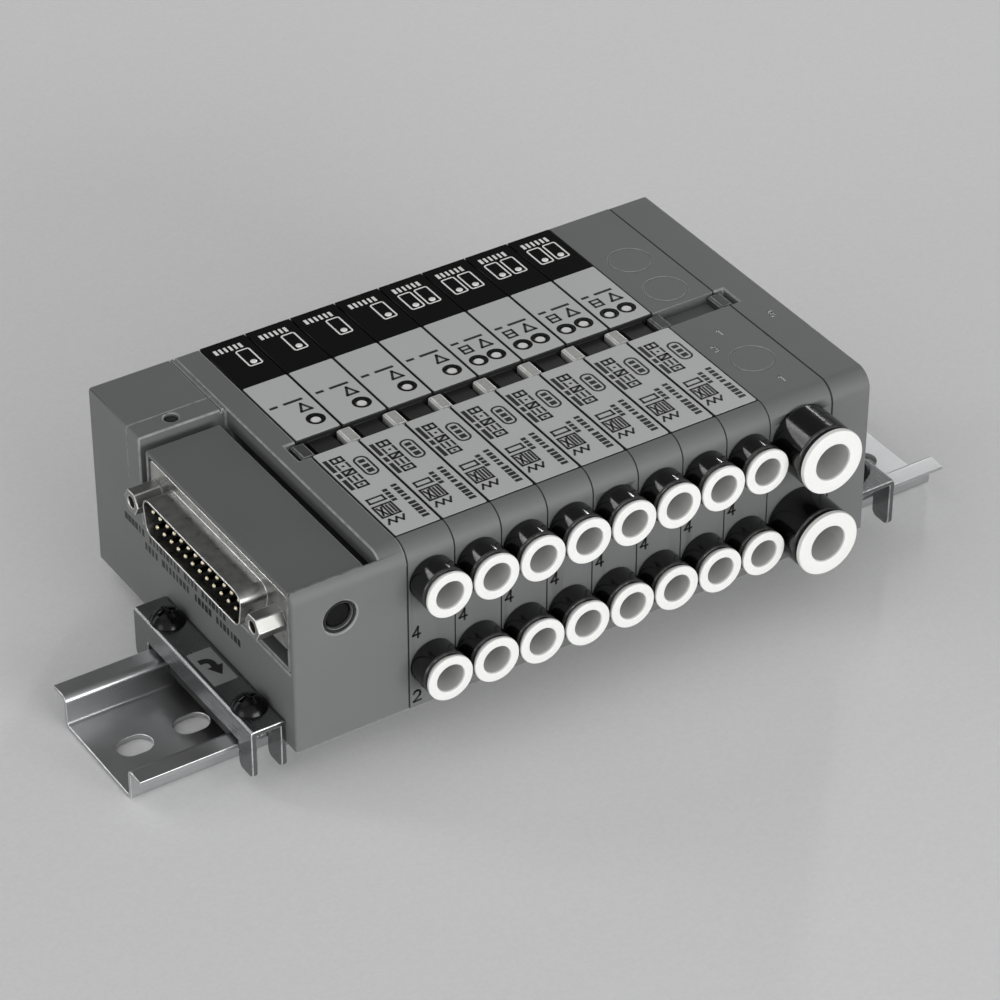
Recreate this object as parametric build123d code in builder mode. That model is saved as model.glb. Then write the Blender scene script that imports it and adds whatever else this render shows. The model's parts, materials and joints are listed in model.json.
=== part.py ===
from build123d import *
import os
from math import radians, sqrt, tan

os.makedirs("parts", exist_ok=True)

# Valve island on a mounting rail, in millimetres.
# The origin is the middle of the rail's underside. +X runs along the rail towards the
# supply ports, +Y from the tube ports to the back, +Z up from the panel.

# Rail
rail_length = 191.0
rail_width = 35.0
rail_base_width = 27.0
rail_height = 7.5
rail_gauge = 1.0
rail_bend = 0.6
slot_pitch = 12.5
slot_length = 7.5
slot_width = 5.5
slot_end_margin = 8.0

# Block stack
station_count = 8
single_stations = 4
station_pitch = 10.5
wiring_length = 25.2
supply_length = 15.0
end_length = 9.7
stack_offset = 0.15
depth = 79.5
height = 38.5
front_overhang = 27.0
rail_clearance = 0.8
nose_radius = 4.2
edge_radius = 0.6
seam_width = 0.16
cut_over = 2.0

# Feet that hook the rail
hook_gap = 0.3
toe_reach = 1.2
toe_gauge = 1.1
front_hook_width = 2.6

# Valve seats in the manifold
nose_depth = 4.3
ledge_depth = 14.3
roof_gauge = 3.0
deck_height = 18.0
valve_gap = 0.3

# Top channel, joint clips and indicator strip
channel_front = 35.4
channel_back = 41.2
channel_depth = 2.4
rib_width = 5.2
rib_drop = 1.1
clip_length = 5.2
clip_width = 3.0
clip_drop = 0.3
clip_notch = 2.6
clip_chamfer = 0.4
window_front = 62.5
window_gauge = 1.6

# Manual overrides
override_depth = 45.9
override_offset = 2.1
override_radius = 1.15
override_length = 7.0
override_travel = 1.0
override_drop = 0.15
bush_radius = 2.0
bush_depth = 4.0
bush_clearance = 0.02
button_chamfer = 0.2
well_spare = 0.5
slide_clearance = 0.06

# Tube ports: row heights above the body's underside
port_row_high = 29.7
port_row_low = 9.8

# Small ports for 6 mm tube
small_tube_radius = 3.0
small_sleeve_wall = 0.85
small_flange_radius = 5.0
small_collar_radius = 5.0
small_spigot_radius = 4.3
small_reach = 6.8
small_face_gauge = 0.7
small_spigot_depth = 11.5
small_travel = 0.7

# Large ports for 8 mm tube
large_tube_radius = 4.0
large_sleeve_wall = 1.15
large_flange_radius = 7.15
large_collar_radius = 7.1
large_spigot_radius = 6.2
large_reach = 11.0
large_face_gauge = 1.1
large_spigot_depth = 15.0
large_travel = 0.8

# What both sizes of port share
ring_clearance = 0.25
tube_clearance = 0.05
ring_back_gap = 0.2
sleeve_end = 0.4
spigot_clearance = 0.1
spigot_end_gap = 0.3
travel_spare = 0.3
port_passage = 2.0
stop_gauge = 2.0
lead_in = 0.5
rim_chamfer = 0.3

# Turning connector housing: distances from the stack's left end and the body's underside
pivot_in = 10.4
pivot_up = 28.4
housing_in = 0.1
housing_right = 16.7
housing_top = 37.0
housing_bottom = 18.5
housing_front = 1.7
housing_wall = 0.7
pocket_clearance = 0.03
pocket_depth = 6.4
recess_front_gap = 0.3
recess_back_gap = 2.4
recess_right = 19.5
recess_floor_gap = 0.3
sweep_gap = 0.3
trunnion_radius = 3.55
trunnion_clearance = 0.08
trunnion_recess = 0.5
trunnion_engage = 2.4
trunnion_end_gap = 0.3
lock_radius = 2.9
lock_recess = 0.5
lock_length = 5.0
lock_travel = 1.2
lock_chamfer = 0.4
cable_hole_radius = 1.5
cable_hole_in = 8.9
cable_hole_back = 61.6
cable_hole_depth = 4.0
band_depth = 63.5
band_groove = 0.3
band_drop = 12.0
lid_groove = 0.3
lid_groove_depth = 0.6
lid_groove_steps = [0.15, 1.1]

# 25-pole plug connector
plug_up = 29.2
flange_inset = 0.5
flange_gauge = 0.9
flange_width = 53.04
flange_height = 12.55
flange_corner = 1.2
screw_spacing = 47.04
shell_width = 38.96
shell_height = 8.36
shell_reach = 5.8
shell_gauge = 0.45
shell_corner = 2.4
shell_slope = 10.0
pin_pitch = 2.77
pin_row_gap = 2.84
pin_radius = 0.5
pin_count = 25
pin_inset = 0.7
insulator_rear = 3.6
insulator_face = 0.8
insulator_margin = 0.5
insulator_clearance = 0.05
post_flats = 4.8
post_length = 6.0
post_bore = 1.25
post_bore_depth = 5.0
post_hole_clearance = 0.3
boss_radius = 2.6

# Rail clamps
clamp_gauge = 1.2
clamp_width = 7.6
clamp_width_right = 11.0
clamp_lip_gap = 0.4
clamp_rise = 5.8
clamp_web = 5.3
clamp_leg = 5.4
clamp_leg_drop = 5.6
clamp_corner = 1.5
clamp_bend = 0.84
block_gap = 0.3
block_drop = 3.9
block_top_gap = 0.4
screw_head_radius = 3.7
screw_head_height = 2.6
screw_radius = 1.75
screw_spread = 32.0
screw_tip_gap = 0.4
screw_hole_clearance = 0.15
thread_clearance = 0.02
screw_recess_width = 0.9
screw_recess_length = 4.1
screw_recess_depth = 0.9

# Moulded rings on the supply block
mark_radius = 4.7
mark_line = 0.35
mark_depth = 0.12
mark_depths = [16.9, 47.4, 60.3]

# Positions worked out from the sizes above
stack_length = wiring_length + station_count * station_pitch + supply_length + end_length
stack_left = stack_offset - stack_length / 2
stack_right = stack_left + stack_length
stations_left = stack_left + wiring_length
supply_left = stations_left + station_count * station_pitch
end_left = supply_left + supply_length
supply_middle = supply_left + supply_length / 2
front_y = -front_overhang
back_y = front_y + depth
floor_z = rail_height + rail_clearance
top_z = floor_z + height
deck_z = floor_z + deck_height
roof_z = top_z - roof_gauge
channel_z = top_z - channel_depth
lip_y = rail_width / 2
hook_y = lip_y + hook_gap
toe_y = lip_y - toe_reach
toe_top = rail_height - rail_gauge - hook_gap
foot_z = toe_top - toe_gauge
pivot_x = stack_left + pivot_in
pivot_z = floor_z + pivot_up
housing_length = flange_width + 2 * (housing_wall + pocket_clearance)
recess_front = housing_front - recess_front_gap
recess_back = housing_front + housing_length + recess_back_gap
plug_y = front_y + housing_front + housing_length / 2
plug_z = floor_z + plug_up
flange_x = stack_left + flange_inset
slot_count = 1 + int((rail_length - 2 * slot_end_margin) / slot_pitch + 0.001)


def port_sizes(tube, wall, flange, collar, spigot, reach, face, spigot_depth, travel):
    """Radii and lengths of one size of port, worked out from its tube."""
    bore = tube + ring_clearance
    sizes = dict(bore=bore, seat=tube + tube_clearance, sleeve=bore + wall, flange=flange)
    sizes.update(collar=collar, spigot=spigot, reach=reach, face=face)
    sizes.update(gap=travel + ring_back_gap, spigot_depth=spigot_depth, travel=travel)
    return sizes


small_port = port_sizes(
    small_tube_radius,
    small_sleeve_wall,
    small_flange_radius,
    small_collar_radius,
    small_spigot_radius,
    small_reach,
    small_face_gauge,
    small_spigot_depth,
    small_travel,
)
large_port = port_sizes(
    large_tube_radius,
    large_sleeve_wall,
    large_flange_radius,
    large_collar_radius,
    large_spigot_radius,
    large_reach,
    large_face_gauge,
    large_spigot_depth,
    large_travel,
)


def save(builder, label):
    """Label a finished piece and write its file."""
    builder.part.label = label
    export_step(builder.part, "parts/" + label + ".step")


def station_middle(index):
    """X of the middle of a station, counted from 0 at the wiring block."""
    return stations_left + (index + 0.5) * station_pitch


def override_places():
    """Station index, port letter and X of each manual override."""
    places = []
    for index in range(station_count):
        middle = station_middle(index)
        places.append((index, "a", middle + override_offset))
        if index >= single_stations:
            places.append((index, "b", middle - override_offset))
    return places


def underside_points():
    """Underside of every block, from the back to the front, with both rail hooks."""
    front_hook_y = -hook_y - front_hook_width
    return [
        (back_y, foot_z),
        (toe_y, foot_z),
        (toe_y, toe_top),
        (hook_y, toe_top),
        (hook_y, floor_z),
        (-hook_y, floor_z),
        (-hook_y, toe_top),
        (-toe_y, toe_top),
        (-toe_y, foot_z),
        (front_hook_y, foot_z),
        (front_hook_y, floor_z),
        (front_y, floor_z),
    ]


def block_section(upper_points):
    """Section of a block across the rail, with its front top edge rounded."""
    with BuildSketch() as section:
        with BuildLine():
            Polyline(*(upper_points + underside_points()), close=True)
        make_face()
        nose = section.vertices().sort_by_distance((front_y, top_z, 0))[0]
        fillet(nose, radius=nose_radius)
    return section.sketch


def outer_edges(edges):
    """Edges of an end face that show: all but those of the underside and its hooks."""
    return edges.filter_by(lambda edge: edge.center().Z > floor_z + edge_radius)


full_section = [(front_y, top_z), (back_y, top_z)]
manifold_section = [
    (front_y, top_z),
    (front_y + nose_depth, top_z),
    (front_y + nose_depth, roof_z),
    (front_y + ledge_depth, roof_z),
    (front_y + ledge_depth, deck_z),
    (back_y, deck_z),
]


def port_plane(x, y, z):
    """Plane across a port's axis that faces the back."""
    return Plane(origin=(x, y, z), x_dir=(1, 0, 0), z_dir=(0, 1, 0))


def port_profile(x, z, points):
    """Face of (radius, y) points beside a port's axis, ready to turn about it."""
    with BuildSketch(Plane(origin=(x, 0, z), x_dir=(1, 0, 0), z_dir=(0, 0, 1))) as half:
        with BuildLine():
            Polyline(*points, close=True)
        make_face()
    return half.sketch


def port_axis(x, z):
    """Axis of a port, towards the back."""
    return Axis((x, 0, z), (0, 1, 0))


def fitting_points(port):
    """Profile of a push-in fitting: collar, spigot, sleeve seat, tube seat, passage."""
    collar_front = front_y - port["reach"] + port["face"] + port["gap"]
    seat_front = front_y - sleeve_end + port["travel"] + travel_spare
    inner_end = front_y + port["spigot_depth"]
    tube_stop = inner_end - stop_gauge
    return [
        (port["sleeve"] + slide_clearance, collar_front),
        (port["collar"] - rim_chamfer, collar_front),
        (port["collar"], collar_front + rim_chamfer),
        (port["collar"], front_y),
        (port["spigot"], front_y),
        (port["spigot"], inner_end),
        (port_passage, inner_end),
        (port_passage, tube_stop),
        (port["seat"], tube_stop),
        (port["seat"], seat_front),
        (port["sleeve"] + slide_clearance, seat_front),
    ]


def ring_points(port):
    """Profile of a release ring: face with rounded rim, and the sleeve behind it."""
    face_y = front_y - port["reach"]
    back_face = face_y + port["face"]
    return [
        (port["bore"] + lead_in, face_y),
        (port["flange"] - rim_chamfer, face_y),
        (port["flange"], face_y + rim_chamfer),
        (port["flange"], back_face),
        (port["sleeve"], back_face),
        (port["sleeve"], front_y - sleeve_end),
        (port["bore"], front_y - sleeve_end),
        (port["bore"], face_y + lead_in),
    ]


def small_port_places():
    """Station index, row name, X and Z of each small port."""
    places = []
    for index in range(station_count):
        places.append((index, "a", station_middle(index), floor_z + port_row_high))
        places.append((index, "b", station_middle(index), floor_z + port_row_low))
    return places


large_port_places = [
    ("supply", supply_middle, floor_z + port_row_high),
    ("exhaust", supply_middle, floor_z + port_row_low),
]


# Mounting rail
with BuildPart() as din_rail:
    base_half = rail_base_width / 2
    with BuildSketch(Plane.YZ.offset(-rail_length / 2)) as rail_section:
        with BuildLine():
            Polyline(
                (-base_half, 0),
                (base_half, 0),
                (base_half, rail_height - rail_gauge),
                (lip_y, rail_height - rail_gauge),
                (lip_y, rail_height),
                (base_half - rail_gauge, rail_height),
                (base_half - rail_gauge, rail_gauge),
                (rail_gauge - base_half, rail_gauge),
                (rail_gauge - base_half, rail_height),
                (-lip_y, rail_height),
                (-lip_y, rail_height - rail_gauge),
                (-base_half, rail_height - rail_gauge),
                close=True,
            )
        make_face()
        for side in (-1, 1):
            for y, z, radius in (
                (base_half, 0, rail_bend + rail_gauge),
                (base_half, rail_height - rail_gauge, rail_bend),
                (base_half - rail_gauge, rail_height, rail_bend + rail_gauge),
                (base_half - rail_gauge, rail_gauge, rail_bend),
            ):
                corner = rail_section.vertices().sort_by_distance((side * y, z, 0))[0]
                fillet(corner, radius=radius)
    extrude(amount=rail_length)
    with BuildSketch(Plane.XY):
        with GridLocations(slot_pitch, 0, slot_count, 1):
            SlotOverall(slot_length, slot_width)
    extrude(amount=rail_gauge, mode=Mode.SUBTRACT)
save(din_rail, "din_rail")


# Wiring block with the recess that the connector housing turns in
with BuildPart() as wiring_block:
    with BuildSketch(Plane.YZ.offset(stack_left)):
        add(block_section(full_section))
    extrude(amount=wiring_length)
    fillet(outer_edges(wiring_block.edges().group_by(Axis.X)[0]), radius=edge_radius)
    recess_y = front_y + recess_front
    recess_length = recess_back - recess_front
    reach_right = sqrt((housing_right - pivot_in) ** 2 + (housing_top - pivot_up) ** 2)
    with BuildSketch(Plane(origin=(pivot_x, recess_y, pivot_z), x_dir=(1, 0, 0), z_dir=(0, -1, 0))):
        Circle(reach_right + sweep_gap)
        with BuildLine():
            Polyline(
                (-pivot_in - cut_over, housing_bottom - recess_floor_gap - pivot_up),
                (0, housing_bottom - recess_floor_gap - pivot_up),
                (0, 0),
                (recess_right - pivot_in, 0),
                (recess_right - pivot_in, height - pivot_up + cut_over),
                (-pivot_in - cut_over, height - pivot_up + cut_over),
                close=True,
            )
        make_face()
    extrude(amount=-recess_length, mode=Mode.SUBTRACT)
    hole_radius = trunnion_radius + trunnion_clearance
    with BuildSketch(port_plane(pivot_x, front_y, pivot_z)):
        Circle(hole_radius)
    extrude(amount=recess_back + trunnion_engage, mode=Mode.SUBTRACT)
    with BuildSketch(Plane.XY.offset(top_z)):
        with Locations((stack_left + cable_hole_in, front_y + cable_hole_back)):
            Circle(cable_hole_radius)
    extrude(amount=-cable_hole_depth, mode=Mode.SUBTRACT)
    band_y = front_y + band_depth
    with BuildSketch(Plane.XY.offset(top_z)):
        with Locations((stack_left + recess_right / 2, band_y)):
            Rectangle(recess_right, band_groove)
    extrude(amount=-band_groove, mode=Mode.SUBTRACT)
    with BuildSketch(Plane.YZ.offset(stack_left)):
        with Locations((band_y, top_z - band_drop / 2)):
            Rectangle(band_groove, band_drop)
    extrude(amount=band_groove, mode=Mode.SUBTRACT)
    with BuildSketch(Plane.XY.offset(top_z)):
        with Locations((stations_left, front_y + (channel_front + channel_back) / 2)):
            Rectangle(2 * clip_notch, channel_back - channel_front)
    extrude(amount=-channel_depth, mode=Mode.SUBTRACT)
    lid_back = depth - recess_back
    with BuildSketch(Plane.XY.offset(top_z)):
        for step in lid_groove_steps:
            with Locations((stack_left + recess_right - step, back_y - lid_back / 2)):
                Rectangle(lid_groove, lid_back)
    extrude(amount=-lid_groove_depth, mode=Mode.SUBTRACT)
save(wiring_block, "wiring_block")


# Manifold blocks, one for each station, with the seats of both its ports
with BuildPart() as manifold_blocks:
    for index in range(station_count):
        with BuildSketch(Plane.YZ.offset(station_middle(index) - station_pitch / 2 + seam_width / 2)):
            add(block_section(manifold_section))
        extrude(amount=station_pitch - seam_width)
    for index, row, x, z in small_port_places():
        with BuildSketch(port_plane(x, front_y, z)):
            Circle(small_port["spigot"] + spigot_clearance)
        extrude(amount=small_port["spigot_depth"] + spigot_end_gap, mode=Mode.SUBTRACT)
save(manifold_blocks, "manifold_blocks")


# Supply block with both large port seats, moulded rings and the channel's end
with BuildPart() as supply_block:
    with BuildSketch(Plane.YZ.offset(supply_left)):
        add(block_section(full_section))
    extrude(amount=supply_length)
    for name, x, z in large_port_places:
        with BuildSketch(port_plane(x, front_y, z)):
            Circle(large_port["spigot"] + spigot_clearance)
        extrude(amount=large_port["spigot_depth"] + spigot_end_gap, mode=Mode.SUBTRACT)
    with BuildSketch(Plane.XY.offset(top_z)):
        for mark_y in mark_depths:
            with Locations((supply_middle, front_y + mark_y)):
                Circle(mark_radius)
                Circle(mark_radius - mark_line, mode=Mode.SUBTRACT)
    extrude(amount=-mark_depth, mode=Mode.SUBTRACT)
    with BuildSketch(Plane.XY.offset(top_z)):
        with Locations((supply_middle, front_y + (channel_front + channel_back) / 2)):
            Rectangle(supply_length, channel_back - channel_front)
    extrude(amount=-channel_depth, mode=Mode.SUBTRACT)
save(supply_block, "supply_block")


# End block that closes the stack
with BuildPart() as end_block:
    with BuildSketch(Plane.YZ.offset(end_left)):
        add(block_section(full_section))
    extrude(amount=end_length)
    fillet(outer_edges(end_block.edges().group_by(Axis.X)[-1]), radius=edge_radius)
    with BuildSketch(Plane.XY.offset(top_z)):
        with Locations((end_left, front_y + (channel_front + channel_back) / 2)):
            Rectangle(2 * clip_notch, channel_back - channel_front)
    extrude(amount=-channel_depth, mode=Mode.SUBTRACT)
save(end_block, "end_block")


# Valves, one for each station, with seats for their manual overrides
def valve_section():
    """Upper outline of a valve, from the name plate to the back."""
    seat_y = front_y + ledge_depth + valve_gap
    window_z = top_z - window_gauge
    return [
        (front_y + nose_depth + seam_width, top_z),
        (front_y + channel_front, top_z),
        (front_y + channel_front, channel_z),
        (front_y + channel_back, channel_z),
        (front_y + channel_back, top_z),
        (front_y + window_front, top_z),
        (front_y + window_front, window_z),
        (back_y, window_z),
        (back_y, deck_z),
        (seat_y, deck_z),
        (seat_y, roof_z + valve_gap),
        (front_y + nose_depth + seam_width, roof_z + valve_gap),
    ]


for index in range(station_count):
    valve_left = stations_left + index * station_pitch + valve_gap / 2
    valve_width = station_pitch - valve_gap
    with BuildPart() as valve:
        with BuildSketch(Plane.YZ.offset(valve_left)):
            with BuildLine():
                Polyline(*valve_section(), close=True)
            make_face()
        extrude(amount=valve_width)
        with BuildSketch(Plane.XY.offset(channel_z)):
            with Locations((station_middle(index), front_y + (channel_front + channel_back) / 2)):
                Rectangle(rib_width, channel_back - channel_front)
        extrude(amount=channel_depth - rib_drop)
        for place, port, x in override_places():
            if place == index:
                with BuildSketch(Plane.XY.offset(top_z)):
                    with Locations((x, front_y + override_depth)):
                        Circle(bush_radius)
                extrude(amount=-bush_depth, mode=Mode.SUBTRACT)
                well = override_drop + override_length + override_travel + well_spare
                with BuildSketch(Plane.XY.offset(top_z)):
                    with Locations((x, front_y + override_depth)):
                        Circle(override_radius + slide_clearance)
                extrude(amount=-well, mode=Mode.SUBTRACT)
    save(valve, "valve_" + str(index + 1))


# Black indicator windows along the back of the valves
with BuildPart() as indicator_windows:
    with BuildSketch(Plane.XY.offset(top_z - window_gauge)):
        for index in range(station_count):
            window_length = depth - window_front
            with Locations((station_middle(index), back_y - window_length / 2)):
                Rectangle(station_pitch - valve_gap, window_length)
    extrude(amount=window_gauge)
save(indicator_windows, "indicator_windows")


# Joint clips across the seams between neighbouring blocks
def clips(label, seams):
    """Group of joint clips in the channel, each astride one seam."""
    with BuildPart() as group:
        with BuildSketch(Plane.XY.offset(channel_z)):
            for seam_x in seams:
                with Locations((seam_x, front_y + (channel_front + channel_back) / 2)):
                    Rectangle(clip_width, clip_length)
        extrude(amount=channel_depth - clip_drop)
        chamfer(group.edges().group_by(Axis.Z)[-1], length=clip_chamfer)
    save(group, label)


inner_seams = [stations_left + i * station_pitch for i in range(1, station_count)]
clips("valve_joint_clips", inner_seams)
clips("end_joint_clips", [stations_left, supply_left, end_left])


# Manual overrides and the bushes that guide them
with BuildPart() as override_bushes:
    with BuildSketch(Plane.XY.offset(top_z - bush_depth)):
        for index, port, x in override_places():
            with Locations((x, front_y + override_depth)):
                Circle(bush_radius - bush_clearance)
                Circle(override_radius + slide_clearance, mode=Mode.SUBTRACT)
    extrude(amount=bush_depth)
save(override_bushes, "override_bushes")

for index, port, x in override_places():
    with BuildPart() as override_button:
        with BuildSketch(Plane.XY.offset(top_z - override_drop - override_length)):
            with Locations((x, front_y + override_depth)):
                Circle(override_radius)
        extrude(amount=override_length)
        chamfer(override_button.edges().group_by(Axis.Z)[-1], length=button_chamfer)
    save(override_button, "override_" + str(index + 1) + port)


# Push-in fittings in the front face
with BuildPart() as small_fittings:
    for index, row, x, z in small_port_places():
        revolve(port_profile(x, z, fitting_points(small_port)), axis=port_axis(x, z))
save(small_fittings, "small_fittings")

with BuildPart() as large_fittings:
    for name, x, z in large_port_places:
        revolve(port_profile(x, z, fitting_points(large_port)), axis=port_axis(x, z))
save(large_fittings, "large_fittings")


# Release rings, each sliding in its own fitting
for index, row, x, z in small_port_places():
    with BuildPart() as release_ring:
        revolve(port_profile(x, z, ring_points(small_port)), axis=port_axis(x, z))
    save(release_ring, "release_ring_" + str(index + 1) + row)

for name, x, z in large_port_places:
    with BuildPart() as release_ring:
        revolve(port_profile(x, z, ring_points(large_port)), axis=port_axis(x, z))
    save(release_ring, "release_ring_" + name)


# Connector housing that turns from side entry to top entry
with BuildPart() as connector_housing:
    housing_y = front_y + housing_front
    across = Plane(origin=(pivot_x, housing_y, pivot_z), x_dir=(1, 0, 0), z_dir=(0, -1, 0))
    left = housing_in - pivot_in
    right = housing_right - pivot_in
    top = housing_top - pivot_up
    bottom = housing_bottom - pivot_up
    with BuildSketch(across) as housing_section:
        with BuildLine():
            Polyline((left, bottom), (left, top), (right, top), (right, 0), (0, bottom), close=True)
        make_face()
        Circle(right)
        corner = housing_section.vertices().sort_by_distance((left, top, 0))[0]
        fillet(corner, radius=edge_radius)
    extrude(amount=-housing_length)
    pocket = Plane(origin=(stack_left, plug_y, plug_z), x_dir=(0, 1, 0), z_dir=(1, 0, 0))
    pocket_top = housing_top - plug_up - housing_wall
    pocket_bottom = housing_bottom - plug_up + housing_wall
    with BuildSketch(pocket):
        with Locations((0, (pocket_top + pocket_bottom) / 2)):
            Rectangle(housing_length - 2 * housing_wall, pocket_top - pocket_bottom)
    extrude(amount=pocket_depth, mode=Mode.SUBTRACT)
    with BuildSketch(pocket.offset(flange_inset + flange_gauge)):
        with GridLocations(screw_spacing, 0, 2, 1):
            Circle(boss_radius)
    extrude(amount=pocket_depth - flange_inset - flange_gauge)
    with BuildSketch(port_plane(pivot_x, front_y + trunnion_recess, pivot_z)):
        Circle(trunnion_radius)
    extrude(amount=housing_front - trunnion_recess)
    with BuildSketch(port_plane(pivot_x, housing_y + housing_length, pivot_z)):
        Circle(trunnion_radius)
    rear_gap = recess_back - housing_front - housing_length
    extrude(amount=rear_gap + trunnion_engage - trunnion_end_gap)
    with BuildSketch(port_plane(pivot_x, front_y + trunnion_recess, pivot_z)):
        Circle(lock_radius + slide_clearance)
    extrude(amount=lock_recess + lock_length + lock_travel + travel_spare, mode=Mode.SUBTRACT)
save(connector_housing, "connector_housing")


# Lock pin in the front trunnion, pressed to free the housing
with BuildPart() as lock_pin:
    with BuildSketch(port_plane(pivot_x, front_y + trunnion_recess + lock_recess, pivot_z)):
        Circle(lock_radius)
    extrude(amount=lock_length)
    chamfer(lock_pin.edges().group_by(Axis.Y)[0], length=lock_chamfer)
save(lock_pin, "lock_pin")


# Plug connector
plug_plane = Plane(origin=(flange_x, plug_y, plug_z), x_dir=(0, 1, 0), z_dir=(1, 0, 0))


def shell_outline(inset):
    """D-shaped outline of the plug's shell, wide side up, drawn smaller by an inset."""
    half_top = shell_width / 2 - inset
    half_height = shell_height / 2 - inset
    half_bottom = half_top - 2 * half_height * tan(radians(shell_slope))
    with BuildSketch() as outline:
        with BuildLine():
            Polyline(
                (-half_bottom, -half_height),
                (half_bottom, -half_height),
                (half_top, half_height),
                (-half_top, half_height),
                close=True,
            )
        make_face()
        fillet(outline.vertices(), radius=shell_corner - inset)
    return outline.sketch


with BuildPart() as plug_shell:
    with BuildSketch(plug_plane):
        RectangleRounded(flange_width, flange_height, flange_corner)
        with GridLocations(screw_spacing, 0, 2, 1):
            Circle(post_bore + post_hole_clearance, mode=Mode.SUBTRACT)
    extrude(amount=flange_gauge)
    with BuildSketch(plug_plane):
        add(shell_outline(0))
    extrude(amount=-shell_reach)
    with BuildSketch(plug_plane.offset(flange_gauge)):
        add(shell_outline(shell_gauge))
    extrude(amount=-shell_reach - flange_gauge, mode=Mode.SUBTRACT)
save(plug_shell, "plug_shell")

with BuildPart() as plug_insulator:
    with BuildSketch(plug_plane.offset(flange_gauge)):
        add(shell_outline(shell_gauge + insulator_clearance))
    extrude(amount=-flange_gauge - insulator_face)
    with BuildSketch(plug_plane.offset(flange_gauge)):
        Rectangle(shell_width + 2 * insulator_margin, shell_height + 2 * insulator_margin)
    extrude(amount=insulator_rear)
save(plug_insulator, "plug_insulator")

with BuildPart() as plug_pins:
    row_counts = ((pin_count + 1) // 2, pin_count // 2)
    with BuildSketch(plug_plane.offset(-insulator_face)):
        for side, count in ((1, row_counts[0]), (-1, row_counts[1])):
            with Locations((0, side * pin_row_gap / 2)):
                with GridLocations(pin_pitch, 0, count, 1):
                    Circle(pin_radius)
    extrude(amount=pin_inset + insulator_face - shell_reach)
save(plug_pins, "plug_pins")

with BuildPart() as jack_posts:
    with BuildSketch(plug_plane):
        with GridLocations(screw_spacing, 0, 2, 1):
            RegularPolygon(post_flats / 2, 6, major_radius=False)
    extrude(amount=-post_length)
    with BuildSketch(plug_plane.offset(-post_length)):
        with GridLocations(screw_spacing, 0, 2, 1):
            Circle(post_bore)
    extrude(amount=post_bore_depth, mode=Mode.SUBTRACT)
save(jack_posts, "jack_posts")


# Rail clamps: a folded bracket over a cast block, held by two screws
clamp_top = floor_z + clamp_rise
clamp_y1 = lip_y + clamp_lip_gap + clamp_leg
clamp_y0 = -clamp_y1
screw_ys = (-screw_spread / 2, screw_spread / 2)


def clamp_bracket(label, x0, width):
    """Folded bracket that stands over the rail with a leg at each corner."""
    with BuildPart() as bracket:
        with BuildSketch(Plane.YZ.offset(x0)) as side_view:
            with BuildLine():
                Polyline(
                    (clamp_y0, floor_z - clamp_leg_drop),
                    (clamp_y0, clamp_top),
                    (clamp_y1, clamp_top),
                    (clamp_y1, floor_z - clamp_leg_drop),
                    (clamp_y1 - clamp_leg, floor_z - clamp_leg_drop),
                    (clamp_y1 - clamp_leg, clamp_top - clamp_web),
                    (clamp_y0 + clamp_leg, clamp_top - clamp_web),
                    (clamp_y0 + clamp_leg, floor_z - clamp_leg_drop),
                    close=True,
                )
            make_face()
            low = side_view.vertices().group_by(Axis.Y)[0]
            fillet(low, radius=clamp_corner)
        extrude(amount=width)
        inner_width = width - 2 * clamp_gauge
        with BuildSketch(Plane.XZ.offset(-clamp_y1 - cut_over)):
            with Locations((x0 + width / 2, (clamp_top - clamp_gauge) / 2)):
                Rectangle(inner_width, clamp_top - clamp_gauge)
        extrude(amount=clamp_y1 - clamp_y0 + 2 * cut_over, mode=Mode.SUBTRACT)
        bends = bracket.edges().filter_by(Axis.Y).group_by(Axis.Z)[-1]
        fillet(bends, radius=clamp_bend)
        with BuildSketch(Plane.XY.offset(clamp_top)):
            for y in screw_ys:
                with Locations((x0 + width / 2, y)):
                    Circle(screw_radius + screw_hole_clearance)
        extrude(amount=-clamp_gauge, mode=Mode.SUBTRACT)
    save(bracket, label)


def clamp_block(label, x0, width):
    """Cast block inside a bracket, shaped to sit on the rail's lips and between its walls."""
    block_width = width - 2 * clamp_gauge - 2 * block_gap
    inner_y = rail_base_width / 2 - rail_gauge - block_gap
    block_top = clamp_top - clamp_gauge - block_top_gap
    with BuildPart() as block:
        with BuildSketch(Plane.YZ.offset(x0 + clamp_gauge + block_gap)):
            with BuildLine():
                Polyline(
                    (-inner_y, floor_z - block_drop),
                    (inner_y, floor_z - block_drop),
                    (inner_y, rail_height),
                    (lip_y, rail_height),
                    (lip_y, block_top),
                    (-lip_y, block_top),
                    (-lip_y, rail_height),
                    (-inner_y, rail_height),
                    close=True,
                )
            make_face()
        extrude(amount=block_width)
        with BuildSketch(Plane.XY.offset(block_top)):
            for y in screw_ys:
                with Locations((x0 + width / 2, y)):
                    Circle(screw_radius + thread_clearance)
        extrude(amount=-block_top, mode=Mode.SUBTRACT)
    save(block, label)


clamp_bracket("rail_clamp_left", stack_left - clamp_width, clamp_width)
clamp_bracket("rail_clamp_right", stack_right, clamp_width_right)
clamp_block("clamp_block_left", stack_left - clamp_width, clamp_width)
clamp_block("clamp_block_right", stack_right, clamp_width_right)

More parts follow.
